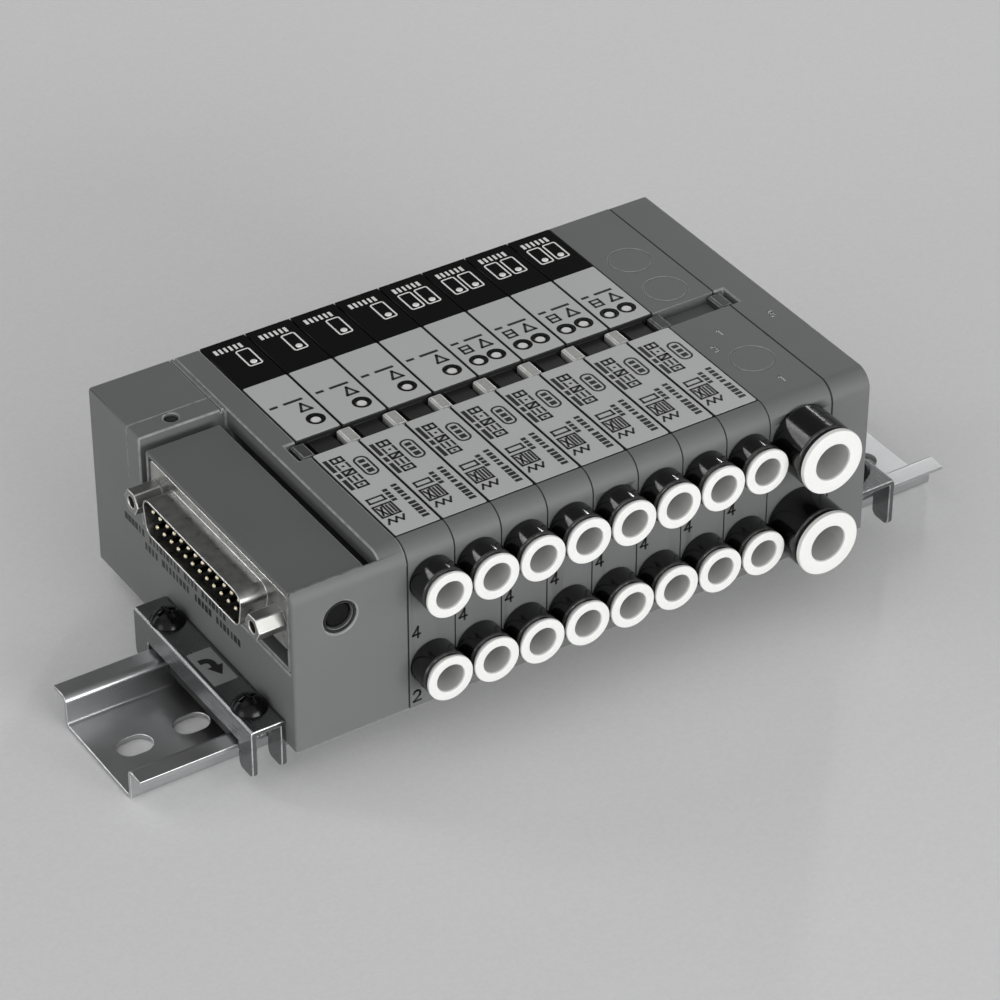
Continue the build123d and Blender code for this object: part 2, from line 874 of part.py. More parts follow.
with BuildPart() as clamp_screws:
    head_sphere = (screw_head_radius**2 + screw_head_height**2) / (2 * screw_head_height)
    for clamp_x in (stack_left - clamp_width / 2, stack_right + clamp_width_right / 2):
        for y in screw_ys:
            centre = (clamp_x, y, 0)
            with BuildSketch(Plane(origin=centre, x_dir=(1, 0, 0), z_dir=(0, -1, 0))):
                with BuildLine():
                    rim = (screw_head_radius, clamp_top)
                    crown = (0, clamp_top + screw_head_height)
                    tip_z = rail_height + screw_tip_gap
                    Polyline(crown, (0, tip_z), (screw_radius, tip_z), (screw_radius, clamp_top), rim)
                    RadiusArc(crown, rim, head_sphere)
                make_face()
            revolve(axis=Axis(centre, (0, 0, 1)))
            with BuildSketch(Plane.XY.offset(clamp_top + screw_head_height)):
                with Locations((clamp_x, y)):
                    Rectangle(screw_recess_length, screw_recess_width)
                    Rectangle(screw_recess_width, screw_recess_length)
            extrude(amount=-screw_recess_depth, mode=Mode.SUBTRACT)
save(clamp_screws, "clamp_screws")
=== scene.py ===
"""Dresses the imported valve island: finishes, softened edges, printed labels, pins, rings, floor and light."""

import json
import logging
import math
from collections.abc import Callable
from dataclasses import dataclass
from enum import Enum

import bmesh
import bpy
from mathutils import Matrix, Vector
from mathutils.geometry import tessellate_polygon
from mathutils.kdtree import KDTree

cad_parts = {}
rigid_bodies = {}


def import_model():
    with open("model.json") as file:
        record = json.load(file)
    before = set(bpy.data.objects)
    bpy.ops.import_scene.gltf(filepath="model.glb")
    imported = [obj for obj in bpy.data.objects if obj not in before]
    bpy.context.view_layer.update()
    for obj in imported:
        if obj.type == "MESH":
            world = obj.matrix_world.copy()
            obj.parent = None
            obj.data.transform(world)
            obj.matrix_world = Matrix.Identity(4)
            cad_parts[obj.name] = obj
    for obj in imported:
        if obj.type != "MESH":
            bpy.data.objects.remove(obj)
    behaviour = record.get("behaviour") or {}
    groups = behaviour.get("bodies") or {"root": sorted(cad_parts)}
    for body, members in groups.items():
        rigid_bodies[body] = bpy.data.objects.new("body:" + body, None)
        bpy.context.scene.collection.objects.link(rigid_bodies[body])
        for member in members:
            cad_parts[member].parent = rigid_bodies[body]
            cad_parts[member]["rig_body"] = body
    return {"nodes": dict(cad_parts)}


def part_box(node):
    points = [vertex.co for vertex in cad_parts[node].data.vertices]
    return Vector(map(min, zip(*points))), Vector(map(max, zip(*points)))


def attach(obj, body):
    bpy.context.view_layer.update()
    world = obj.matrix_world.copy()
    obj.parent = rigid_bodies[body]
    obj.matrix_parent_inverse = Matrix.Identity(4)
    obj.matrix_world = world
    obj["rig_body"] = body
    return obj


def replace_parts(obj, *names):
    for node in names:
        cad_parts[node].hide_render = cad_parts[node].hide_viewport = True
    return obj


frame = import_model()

LOG = logging.getLogger("valve_island")
MM = 0.001
STATIC = "island"
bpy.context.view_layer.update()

# Types
Tree, Node, Socket = bpy.types.NodeTree, bpy.types.Node, bpy.types.NodeSocket
Mesh, Object = bpy.types.Mesh, bpy.types.Object
Pair = tuple[float, float]
Triple = tuple[float, float, float]
Four = tuple[float, float, float, float]

# How edges are broken
SHARP_DEG = 38.0       # sharper than this counts as an edge
FLAT_DEG = 0.7         # faces that turn less than this are one face
MERGE_MM = 0.003       # points closer than this are one point
EDGE_REACH = 2.2       # how many widths away another edge still takes room
EDGE_SHARE = 0.45      # share of the room between two edges that each may use
# Edges at seams between blocks are painted dark as painted shade and dirt
SEAM_REACH_MM = 0.25   # how near to a seam an edge is dark


class Slot(Enum):
    """Material slots of the record."""

    BLOCK = "block_grey"
    VALVE = "valve_dark"
    HOUSING = "housing_grey"
    WINDOW = "window_black"
    FITTING = "fitting_black"
    RING = "ring_white"
    BUTTON = "button_white"
    BUSH = "bush_black"
    CLIP_WHITE = "clip_white"
    CLIP_GREY = "clip_grey"
    RAIL = "rail_zinc"
    CLAMP = "clamp_zinc"
    CAST = "cast_dark"
    SCREW = "screw_black"
    SHELL = "plug_tin"
    INSULATOR = "insulator_black"
    PIN = "pin_gold"
    POST = "post_nickel"


def linear(hex_colour: str) -> Four:
    """Turns an sRGB hex value into a linear colour.

    Args:
        hex_colour: Six hex digits after a hash sign.

    Returns:
        Red, green, blue and an alpha of one.
    """
    parts = [int(hex_colour[i : i + 2], 16) / 255 for i in (1, 3, 5)]
    low = [p / 12.92 for p in parts]
    high = [((p + 0.055) / 1.055) ** 2.4 for p in parts]
    red, green, blue = [a if p <= 0.04045 else b for p, a, b in zip(parts, low, high)]
    return red, green, blue, 1.0


def per_metre(size_mm: float) -> float:
    """Scale of a pattern with spots of this size."""
    return 1 / (size_mm * MM)


def add_node(tree: Tree, kind: str, inputs: dict | None = None, **settings: str | bool) -> Node:
    """Adds a node with its settings and links.

    Args:
        tree: The tree that gets the node.
        kind: The node's type name.
        inputs: Socket name or index to a value, or to the output socket that feeds it.
        **settings: Properties of the node itself.

    Returns:
        The new node.
    """
    node = tree.nodes.new(kind)
    for key, value in settings.items():
        setattr(node, key, value)
    for key, value in (inputs or {}).items():
        if isinstance(value, Socket):
            tree.links.new(value, node.inputs[key])
        else:
            node.inputs[key].default_value = value
    return node


@dataclass(frozen=True)
class Finish:
    """A surface finish with one even colour, which the kinds below give their patterns."""

    name: str
    colour: str
    roughness: float
    metallic: float = 0.0
    ior: float = 1.5
    # Pale edges are painted highlight and wear; dark seams are painted shade and dirt; dark pin shanks are
    # painted shade
    wear_and_highlight_colour: str = ""
    edge_patch_mm: float = 1.6
    dirt_and_shade_colour: str = "#161616"

    def build(self) -> bpy.types.Material:
        """Makes the material the first time.

        Returns:
            The material of this finish.
        """
        known = bpy.data.materials.get(self.name)
        if known:
            return known
        material = bpy.data.materials.new(self.name)
        material.use_nodes = True
        shader = material.node_tree.nodes["Principled BSDF"]
        shader.inputs["Base Color"].default_value = linear(self.colour)
        shader.inputs["Roughness"].default_value = self.roughness
        shader.inputs["Metallic"].default_value = self.metallic
        if not self.metallic:
            shader.inputs["IOR"].default_value = self.ior
        material.diffuse_color = linear(self.colour)
        self.dress(material.node_tree, shader)
        return material

    def dress(self, tree: Tree, shader: Node) -> None:
        """Adds the pattern of the finish to the shader of the material's tree."""

    def lay(self, tree: Tree, shader: Node, colour: Socket, gloss: dict, relief: dict) -> None:
        """Feeds the shader.

        Args:
            tree: The material's tree.
            shader: Its shader.
            colour: The colour of the plain surface.
            gloss: Inputs of the map from a pattern to the roughness.
            relief: Inputs of the bump.
        """
        tree.links.new(self.paint_wear_and_light(tree, colour), shader.inputs["Base Color"])
        tree.links.new(add_node(tree, "ShaderNodeMapRange", gloss).outputs[0], shader.inputs["Roughness"])
        tree.links.new(add_node(tree, "ShaderNodeBump", relief).outputs[0], shader.inputs["Normal"])

    def shades(self, tree: Tree, factor: Socket, spread: float) -> Socket:
        """Mixes two shades of the finish's colour by a factor.

        Args:
            tree: The material's tree.
            factor: A pattern from 0 to 1.
            spread: How far each shade lies from the colour, as a share of it.

        Returns:
            The mixed colour.
        """
        base = linear(self.colour)
        dark = tuple(c * (1 - spread) for c in base[:3]) + (1.0,)
        pale = tuple(min(c * (1 + spread), 1.0) for c in base[:3]) + (1.0,)
        return add_node(tree, "ShaderNodeMix", {0: factor, 6: dark, 7: pale}, data_type="RGBA").outputs[2]

    def paint_wear_and_light(self, tree: Tree, colour: Socket) -> Socket:
        """Paints edges paler in patches where the mesh marks them 1, as painted highlight and wear, and dark
        where it marks them -1: painted shade and dirt in seams, painted shade on pin shanks.

        Args:
            tree: The material's tree.
            colour: The colour of the plain surface.

        Returns:
            The colour with its edges.
        """
        if not self.wear_and_highlight_colour:
            return colour
        place = add_node(tree, "ShaderNodeTexCoord").outputs["Object"]
        spots = {"Vector": place, "Scale": per_metre(self.edge_patch_mm), "Detail": 3.0}
        patch = add_node(tree, "ShaderNodeTexNoise", spots).outputs["Fac"]
        patchy = {"Value": patch, 1: 0.3, 2: 0.6, 3: 0.35, 4: 1.0}
        level = add_node(tree, "ShaderNodeMapRange", patchy).outputs[0]
        worn = add_node(tree, "ShaderNodeAttribute", attribute_name="worn").outputs["Fac"]
        # First the pale edges (painted highlight and wear), then the dark marks (painted shade)
        for share, paint in ((level, self.wear_and_highlight_colour), (-1.0, self.dirt_and_shade_colour)):
            part = add_node(tree, "ShaderNodeMath", {0: worn, 1: share}, operation="MULTIPLY", use_clamp=True)
            over = {0: part.outputs[0], 6: colour, 7: linear(paint)}
            colour = add_node(tree, "ShaderNodeMix", over, data_type="RGBA").outputs[2]
        return colour


@dataclass(frozen=True)
class Moulded(Finish):
    """Injection-moulded plastic: spark-eroded grain of the tool, flow marks, and slow drift of the colour.

    The tool's grain is about 0.1 mm. It is drawn 0.6 mm coarse, so that it shows at the size of a whole part.
    """

    grain_mm: float = 0.6
    grain_depth_mm: float = 0.03
    drift_mm: float = 14.0
    drift: float = 0.07
    speck: float = 0.05

    def dress(self, tree: Tree, shader: Node) -> None:
        """Grain as bump and roughness, drift as colour.

        Args:
            tree: The material's tree.
            shader: Its shader.
        """
        place = add_node(tree, "ShaderNodeTexCoord").outputs["Object"]
        grains = {"Vector": place, "Scale": per_metre(self.grain_mm), "Detail": 2.0}
        grain = add_node(tree, "ShaderNodeTexNoise", grains).outputs["Fac"]
        patches = {"Vector": place, "Scale": per_metre(self.drift_mm), "Detail": 3.0}
        mixed = self.shades(tree, add_node(tree, "ShaderNodeTexNoise", patches).outputs["Fac"], self.drift)
        specks = {"Value": grain, 1: 0.25, 2: 0.75, 3: 1 - self.speck, 4: 1.0}
        fine = add_node(tree, "ShaderNodeMapRange", specks).outputs[0]
        both = {0: 1.0, 6: mixed, 7: fine}
        grainy = add_node(tree, "ShaderNodeMix", both, data_type="RGBA", blend_type="MULTIPLY").outputs[2]
        gloss = {"Value": grain, 3: self.roughness - 0.09, 4: self.roughness + 0.09}
        relief = {"Height": grain, "Strength": 0.6, "Distance": self.grain_depth_mm * MM}
        self.lay(tree, shader, grainy, gloss, relief)


@dataclass(frozen=True)
class Plated(Finish):
    """Plated or rolled metal: fine lines along its rolling, and clouds in the plating.

    Rolling lines are about 0.1 mm apart. They are drawn three times as coarse, so that they show.
    """

    metallic: float = 1.0
    line_mm: float = 0.3
    run: Triple = (0.03, 1.0, 1.0)
    cloud_mm: float = 9.0
    cloud: float = 0.12
    line_depth_mm: float = 0.004

    def dress(self, tree: Tree, shader: Node) -> None:
        """Lines as bump and roughness, clouds as colour and roughness.

        Args:
            tree: The material's tree.
            shader: Its shader.
        """
        place = add_node(tree, "ShaderNodeTexCoord").outputs["Object"]
        along = add_node(tree, "ShaderNodeMapping", {"Vector": place, "Scale": self.run}).outputs[0]
        drawn = {"Vector": along, "Scale": per_metre(self.line_mm), "Detail": 3.0}
        lines = add_node(tree, "ShaderNodeTexNoise", drawn).outputs["Fac"]
        clouds = {"Vector": place, "Scale": per_metre(self.cloud_mm), "Detail": 4.0}
        cloud = add_node(tree, "ShaderNodeTexNoise", clouds).outputs["Fac"]
        both = add_node(tree, "ShaderNodeMath", {0: lines, 1: cloud}, operation="MULTIPLY").outputs[0]
        gloss = {"Value": both, 2: 0.6, 3: self.roughness * 0.7, 4: self.roughness * 1.5}
        relief = {"Height": lines, "Strength": 0.5, "Distance": self.line_depth_mm * MM}
        self.lay(tree, shader, self.shades(tree, cloud, self.cloud), gloss, relief)


@dataclass(frozen=True)
class Glossy(Finish):
    """Polished moulding: slow waves in the surface and fine rubbing marks in its gloss."""

    wave_mm: float = 4.0
    wave_depth_mm: float = 0.02
    rub_mm: float = 0.7
    rub_shade: float = 0.06

    def dress(self, tree: Tree, shader: Node) -> None:
        """Waves as bump, rubbing marks as roughness and colour.

        Args:
            tree: The material's tree.
            shader: Its shader.
        """
        place = add_node(tree, "ShaderNodeTexCoord").outputs["Object"]
        swells = {"Vector": place, "Scale": per_metre(self.wave_mm), "Detail": 1.0}
        waves = add_node(tree, "ShaderNodeTexNoise", swells).outputs["Fac"]
        marks = {"Vector": place, "Scale": per_metre(self.rub_mm), "Detail": 4.0}
        rub = add_node(tree, "ShaderNodeTexNoise", marks).outputs["Fac"]
        gloss = {"Value": rub, 1: 0.35, 2: 0.75, 3: self.roughness * 0.8, 4: self.roughness * 1.6}
        relief = {"Height": waves, "Strength": 0.35, "Distance": self.wave_depth_mm * MM}
        self.lay(tree, shader, self.shades(tree, rub, self.rub_shade), gloss, relief)


# Matting of the films, unevenness of the inks and the smooth skin of acetal, drawn coarse so that they show
FILM = {"grain_mm": 0.35, "grain_depth_mm": 0.004}
PRINT = {"grain_mm": 0.12, "grain_depth_mm": 0.003}
SMOOTH = {"ior": 1.48, "grain_depth_mm": 0.003}
# Glass-filled nylon of the blocks: a dull dark grey with an even eroded grain, its edges painted paler as
# painted highlight and wear, its seams painted dark as painted shade and dirt
BLOCK = Moulded("glass_filled_nylon_dark_grey", "#6F7070", 0.55, wear_and_highlight_colour="#9A9B9B", dirt_and_shade_colour="#2C2D2D")
# The turning housing is the same nylon painted a shade darker, as painted shade for the recess it sits in, with
# pale edges painted as highlight and wear
HOUSING = Moulded("glass_filled_nylon_housing", "#666767", 0.5, wear_and_highlight_colour="#9C9D9D")
# Valve bodies are black glass-filled nylon, seen only in the channel and the seams
VALVE = Moulded("glass_filled_nylon_black", "#1C1C1D", 0.5)
# Label film is a satin pale grey that catches a soft sheen
LABEL = Moulded("label_film_pale_grey", "#C8C9C9", 0.45, **FILM, drift_mm=20.0, drift=0.03)
# Printing ink on the film, flat and nearly black
INK = Moulded("screen_ink_black", "#121212", 0.5, **PRINT, drift_mm=1.2, drift=0.2)
# Grey ink of the small numbers, worn half into the plastic
INK_GREY = Moulded("pad_print_ink_grey", "#B8B9B9", 0.5, **PRINT, drift_mm=1.0, drift=0.15)
# Film of the clamp's label, a duller grey than the stations'
LABEL_DARK = Moulded("label_film_mid_grey", "#858686", 0.5, **FILM, drift_mm=6.0, drift=0.05)
# A greyer copy of the rings' white acetal on thin sleeves that line their bores: painted shade inside the rings
BORE_SHADE_SLEEVE = Moulded("acetal_pale_sleeve", "#CBCBC9", 0.4, **SMOOTH, grain_mm=0.4, drift=0.05)
# White ink on the smoked window
INK_WHITE = Moulded("screen_ink_white", "#FAFAF8", 0.5, **PRINT, drift_mm=2.0, drift=0.04)
# Smoked polycarbonate window, a deep black gloss
WINDOW = Glossy("polycarbonate_smoked", "#030304", 0.12, ior=1.34)
# Lamp lens under the window, pale and clear
LENS = Glossy("polycarbonate_lamp_lens", "#F8F8F6", 0.12, ior=1.58, wave_mm=1.0)
# Fitting bodies are black acetal with a wet-looking gloss, their edges painted paler as painted highlight and
# wear
FITTING = Glossy("acetal_black", "#0B0B0C", 0.13, ior=1.6, wave_depth_mm=0.012, wear_and_highlight_colour="#3C3C3D")
# Release rings are white acetal, waxy and slightly soft at the edges
RING = Moulded("acetal_white", "#F1F1EF", 0.32, **SMOOTH, grain_mm=0.5, drift_mm=5.0, drift=0.02)
# Buttons are the same acetal, a little whiter, dulled by use
BUTTON = Moulded("acetal_white_button", "#F4F4F2", 0.35, **SMOOTH, grain_mm=0.3, drift=0.03)
# Bushes and the lock pin are deep black acetal that hardly shines
BUSH = Glossy("acetal_black_bush", "#050506", 0.3, ior=1.28)
# Clips are natural nylon, greyed by use, with corners painted paler as painted highlight and wear
CLIP_WHITE = Glossy("nylon_natural", "#B4B4B1", 0.3, ior=1.53, wave_mm=1.5, wear_and_highlight_colour="#F0F0EE")
# Clips at the end blocks are dyed dark, with the same pale painted corners: painted highlight and wear
CLIP_GREY = Moulded("nylon_grey_clip", "#3F4040", 0.5, wear_and_highlight_colour="#8C8D8D")
# Bright zinc on rolled steel, streaked along the rail, its edges painted paler as painted highlight and wear
RAIL = Plated("zinc_plate_rail", "#C0C1C2", 0.33, wear_and_highlight_colour="#F2F2F2", line_depth_mm=0.0015)
# The same plating on the folded brackets, painted darker as a painted reflection of the dark surroundings they
# mirror, with edges painted bright as painted highlight and wear
CLAMP = Plated("zinc_plate_bracket", "#7C7D7E", 0.24, run=(1.0, 0.05, 1.0), wear_and_highlight_colour="#F0F0EF")
# Black cast zinc of the clamp blocks, with a sandy skin, its edges painted paler as painted highlight and wear
CAST = Moulded(
    "cast_zinc_black", "#1B1B1C", 0.5, grain_mm=0.4, grain_depth_mm=0.04, drift=0.2, wear_and_highlight_colour="#5A5B5B"
)
# Oiled black oxide on the screws, its edges painted paler as painted highlight and wear
SCREW = Plated("black_oxide_steel", "#2A2A2B", 0.22, run=(1.0, 1.0, 1.0), wear_and_highlight_colour="#454546")
# Tin plate on the drawn shell, cloudy and bright, its edges painted paler as painted highlight and wear
SHELL = Plated(
    "tin_plate_shell", "#AEAEAC", 0.3, run=(1.0, 0.12, 1.0), cloud_mm=2.2, cloud=0.4, wear_and_highlight_colour="#DADAD8"
)
# Glass-filled polyester behind the pins, flat black
INSULATOR = Moulded("polyester_black", "#080808", 0.62)
# Gold flash on the pins, bright on the domed tips, with painted shade darkening the shanks
PIN = Plated(
    "gold_flash", "#F0E6C8", 0.2, line_mm=0.1, cloud_mm=1.5, wear_and_highlight_colour="#F0E6C8", dirt_and_shade_colour="#2E2B24"
)
# Nickel plate on the turned posts, its edges painted paler as painted highlight and wear
POST = Plated("nickel_plate", "#949491", 0.36, run=(1.0, 1.0, 1.0), line_mm=0.2, wear_and_highlight_colour="#EFEFED")
# Spring steel of the grab rings inside the ports
SPRING = Plated("stainless_spring_steel", "#B9BABB", 0.25)
# Rubber of the seals, the wiper and the hole's plug, dull black
SEAL = Moulded("nitrile_rubber", "#141414", 0.6)

# In the order of the slots
SLOT_FINISH = dict(zip(Slot, (
    BLOCK, VALVE, HOUSING, WINDOW, FITTING, RING, BUTTON, BUSH, CLIP_WHITE, CLIP_GREY,
    RAIL, CLAMP, CAST, SCREW, SHELL, INSULATOR, PIN, POST,
)))


class Shape:
    """Closed solids collected into one mesh, in metres."""

    def __init__(self) -> None:
        """Starts with no points and no faces."""
        self.points: list[Vector] = []
        self.faces: list[tuple[int, ...]] = []

    def prism(self, outline: list[Pair], plane: Matrix, depth: float) -> "Shape":
        """Adds a prism.

        Args:
            outline: Points (u, v) of the base, anticlockwise.
            plane: Turns u, v and height into the frame.
            depth: Height of the prism above the plane.

        Returns:
            The shape.
        """
        start = len(self.points)
        count = len(outline)
        for height in (0.0, depth):
            self.points += [plane @ Vector((u, v, height)) for u, v in outline]
        self.faces.append(tuple(start + i for i in reversed(range(count))))
        self.faces.append(tuple(start + count + i for i in range(count)))
        for i in range(count):
            j = (i + 1) % count
            self.faces.append((start + i, start + j, start + count + j, start + count + i))
        return self

    def plate(self, outline: list[Pair], holes: list[list[Pair]], plane: Matrix, depth: float) -> "Shape":
        """Adds a flat plate with holes through it.

        Args:
            outline: Points (u, v) of its rim, anticlockwise.
            holes: Outlines of its holes, anticlockwise.
            plane: Turns u, v and height into the frame.
            depth: Its thickness above the plane.

        Returns:
            The shape.
        """
        start = len(self.points)
        rims = [outline, *holes]
        flat = [point for rim in rims for point in rim]
        for height in (0.0, depth):
            self.points += [plane @ Vector((u, v, height)) for u, v in flat]
        for a, b, c in tessellate_polygon([[Vector((u, v, 0)) for u, v in rim] for rim in rims]):
            self.faces.append((start + a, start + b, start + c))
            self.faces.append(tuple(start + len(flat) + i for i in (c, b, a)))
        first = start
        for rim in rims:
            for i in range(len(rim)):
                a, b = first + i, first + (i + 1) % len(rim)
                self.faces.append((a, b, b + len(flat), a + len(flat)))
            first += len(rim)
        return self

    def turned(self, profile: list[Pair], plane: Matrix, segments: int) -> "Shape":
        """Adds a closed ring or knob turned about the plane's normal.

        Args:
            profile: Points (radius, height) in order round the closed section.
            plane: Turns u, v and height into the frame.
            segments: Steps round the circle.

        Returns:
            The shape.
        """
        start = len(self.points)
        count = len(profile)
        for step in range(segments):
            angle = 2 * math.pi * step / segments
            for radius, height in profile:
                place = (radius * math.cos(angle), radius * math.sin(angle), height)
                self.points.append(plane @ Vector(place))
        for step in range(segments):
            here, there = start + step * count, start + (step + 1) % segments * count
            for i in range(count):
                j = (i + 1) % count
                self.faces.append((here + i, there + i, there + j, here + j))
        return self

    def mesh(self, name: str) -> Mesh:
        """Makes the mesh, with doubles merged and faces pointing outwards.

        Args:
            name: Its name.

        Returns:
            The mesh.
        """
        mesh = bpy.data.meshes.new(name)
        mesh.from_pydata(self.points, [], self.faces)
        work = bmesh.new()
        work.from_mesh(mesh)
        bmesh.ops.remove_doubles(work, verts=work.verts, dist=1e-7)
        bmesh.ops.dissolve_degenerate(work, edges=work.edges, dist=1e-8)
        bmesh.ops.recalc_face_normals(work, faces=work.faces)
        work.to_mesh(mesh)
        work.free()
        return mesh


def plane_at(x: float, y: float, z: float, normal: str = "+Z") -> Matrix:
    """A drawing plane in the frame.

    Args:
        x: Its origin, in metres, as the next two.
        y: See x.
        z: See x.
        normal: "+Z" for a top, "-Y" for the front, "-X" for the left end.

    Returns:
        The matrix from (u, v, height) to the frame.
    """
    sides = {
        "+Z": ((1, 0, 0), (0, 1, 0), (0, 0, 1)),
        "-Y": ((1, 0, 0), (0, 0, 1), (0, -1, 0)),
        "-X": ((0, -1, 0), (0, 0, 1), (-1, 0, 0)),
    }
    turn = Matrix(sides[normal]).transposed().to_4x4()
    return Matrix.Translation((x, y, z)) @ turn


def rounded(width: float, length: float, corner: float, steps: int = 5) -> list[Pair]:
    """Rounded rectangle about the origin.

    Args:
        width: Its size along u.
        length: Its size along v.
        corner: Radius of its corners.
        steps: Steps at each corner.

    Returns:
        Its points, anticlockwise.
    """
    points = []
    for turn, (sx, sy) in enumerate(((1, 1), (-1, 1), (-1, -1), (1, -1))):
        for step in range(steps + 1):
            angle = math.pi / 2 * (turn + step / steps)
            cx, cy = sx * (width / 2 - corner), sy * (length / 2 - corner)
            points.append((cx + corner * math.cos(angle), cy + corner * math.sin(angle)))
    return points


def circle(x: float, y: float, radius: float, steps: int = 40) -> list[Pair]:
    """Points of a circle, anticlockwise."""
    turns = [2 * math.pi * i / steps for i in range(steps)]
    return [(x + radius * math.cos(a), y + radius * math.sin(a)) for a in turns]


def stroke(start: Pair, end: Pair, width: float) -> list[Pair]:
    """Outline of a straight stroke of a pen between two points.

    Args:
        start: Where the pen goes down.
        end: Where it is lifted.
        width: Width of its tip.

    Returns:
        The outline, anticlockwise.
    """
    a, b = Vector(start), Vector(end)
    side = (b - a).normalized().orthogonal() * (width / 2)
    cap = (b - a).normalized() * (width / 2)
    corners = (a - cap - side, b + cap - side, b + cap + side, a - cap + side)
    outline = [(p.x, p.y) for p in corners]
    area = sum(p[0] * q[1] - q[0] * p[1] for p, q in zip(outline, outline[1:] + outline[:1]))
    return outline if area > 0 else outline[::-1]


def show(
    name: str, mesh: Mesh, finish: Finish, body: str = STATIC, smooth: float = 35.0
) -> Object:
    """Links a finished mesh, paints it and lets it ride on its body.

    Args:
        name: Name of the piece.
        mesh: Its mesh, in the frame.
        finish: Its surface.
        body: The body that it moves with.
        smooth: Edges sharper than this many degrees stay crisp; 0 keeps the mesh's own normals.

    Returns:
        The object.
    """
    if smooth:
        mesh.shade_smooth()
        mesh.set_sharp_from_angle(angle=math.radians(smooth))
    mesh.materials.clear()
    mesh.materials.append(finish.build())
    piece = bpy.data.objects.new(name, mesh)
    bpy.context.scene.collection.objects.link(piece)
    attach(piece, body)
    LOG.info("%s: %d faces on %s", name, len(mesh.polygons), body)
    return piece


def evaluated(mesh: Mesh, dress: Callable[[Object], None]) -> Mesh:
    """Runs modifiers on a mesh and returns the plain result.

    Args:
        mesh: The mesh to start from.
        dress: Called with a scratch object, to which it adds modifiers.

    Returns:
        A new mesh.
    """
    scratch = bpy.data.objects.new("scratch", mesh)
    bpy.context.scene.collection.objects.link(scratch)
    dress(scratch)
    graph = bpy.context.evaluated_depsgraph_get()
    result = bpy.data.meshes.new_from_object(scratch.evaluated_get(graph))
    bpy.data.objects.remove(scratch)
    return result


def room_beside(edges: list[bmesh.types.BMEdge], width: float) -> dict[bmesh.types.BMEdge, float]:
    """Share of a bevel's width that each sharp edge has room for between the sharp edges beside it.

    Args:
        edges: The sharp edges.
        width: The full width, in metres.

    Returns:
        Edge to a share from 0 to 1.
    """
    marks = []
    for edge in edges:
        a, b = (vert.co for vert in edge.verts)
        steps = max(1, math.ceil(edge.calc_length() / width))
        marks += [(a.lerp(b, (i + 0.5) / steps), edge) for i in range(steps)]
    tree = KDTree(len(marks))
    for i, (place, _) in enumerate(marks):
        tree.insert(place, i)
    tree.balance()
    shares = {}
    for edge in edges:
        a, b = (vert.co for vert in edge.verts)
        centre, along = (a + b) / 2, (b - a).normalized()
        space = EDGE_REACH * width
        for place, i, away in tree.find_range(centre, space):
            other = marks[i][1]
            meets = other is edge or any(vert in edge.verts for vert in other.verts)
            if not meets and abs((place - centre).dot(along)) < away / 2:
                space = min(space, away)
        shares[edge] = min(1.0, EDGE_SHARE * space / width)
    return shares


def softened(
    node: str, width: float, segments: int,
    covered: tuple[tuple[Vector, float], ...], seams: tuple[float, ...],
) -> Mesh:
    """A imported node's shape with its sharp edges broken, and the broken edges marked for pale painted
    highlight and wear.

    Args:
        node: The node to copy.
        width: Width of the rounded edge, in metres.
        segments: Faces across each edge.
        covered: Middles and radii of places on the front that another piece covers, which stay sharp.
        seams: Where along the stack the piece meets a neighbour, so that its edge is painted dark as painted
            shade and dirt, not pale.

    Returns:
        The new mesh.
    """
    sharp = math.radians(SHARP_DEG)
    work = bmesh.new()
    work.from_mesh(frame["nodes"][node].data)
    bmesh.ops.remove_doubles(work, verts=work.verts, dist=MERGE_MM * MM)
    flat = math.radians(FLAT_DEG)
    bmesh.ops.dissolve_limit(work, angle_limit=flat, verts=work.verts, edges=work.edges, delimit=set())
    weight = work.edges.layers.float.new("bevel_weight_edge")
    edges = []
    for edge in work.edges:
        place = (edge.verts[0].co + edge.verts[1].co) / 2
        hidden = any(math.hypot(place.x - spot.x, place.z - spot.z) < reach for spot, reach in covered)
        if edge.calc_face_angle(0.0) > sharp and not hidden:
            edges.append(edge)
    for edge, share in room_beside(edges, width).items():
        edge[weight] = share
    mesh = bpy.data.meshes.new(node + "_soft")
    work.to_mesh(mesh)
    work.free()
    mesh.materials.clear()
    for _ in range(2):
        mesh.materials.append(None)
    mesh.polygons.foreach_set("material_index", [0] * len(mesh.polygons))
    mesh.shade_smooth()
    mesh.set_sharp_from_angle(angle=sharp)

    def dress(scratch: Object) -> None:
        """Adds the bevel and evens out the shading.

        Args:
            scratch: The object that carries them.
        """
        edge = scratch.modifiers.new("edge", "BEVEL")
        edge.width = width
        edge.segments = segments
        edge.limit_method = "WEIGHT"
        edge.use_clamp_overlap = False
        edge.material = 1
        even = scratch.modifiers.new("even", "WEIGHTED_NORMAL")
        even.keep_sharp = True

    result = evaluated(mesh, dress)
    # Bevel faces get 1 for pale painted highlight and wear; those in a seam get -1 for dark painted shade and
    # dirt
    worn = []
    for face in result.polygons:
        in_seam = any(abs(face.center.x - seam) < SEAM_REACH_MM * MM for seam in seams)
        worn.append(face.material_index * (-1.0 if in_seam else 1.0))
    result.attributes.new("worn", "FLOAT", "FACE").data.foreach_set("value", worn)
    result.polygons.foreach_set("material_index", [0] * len(worn))
    return result


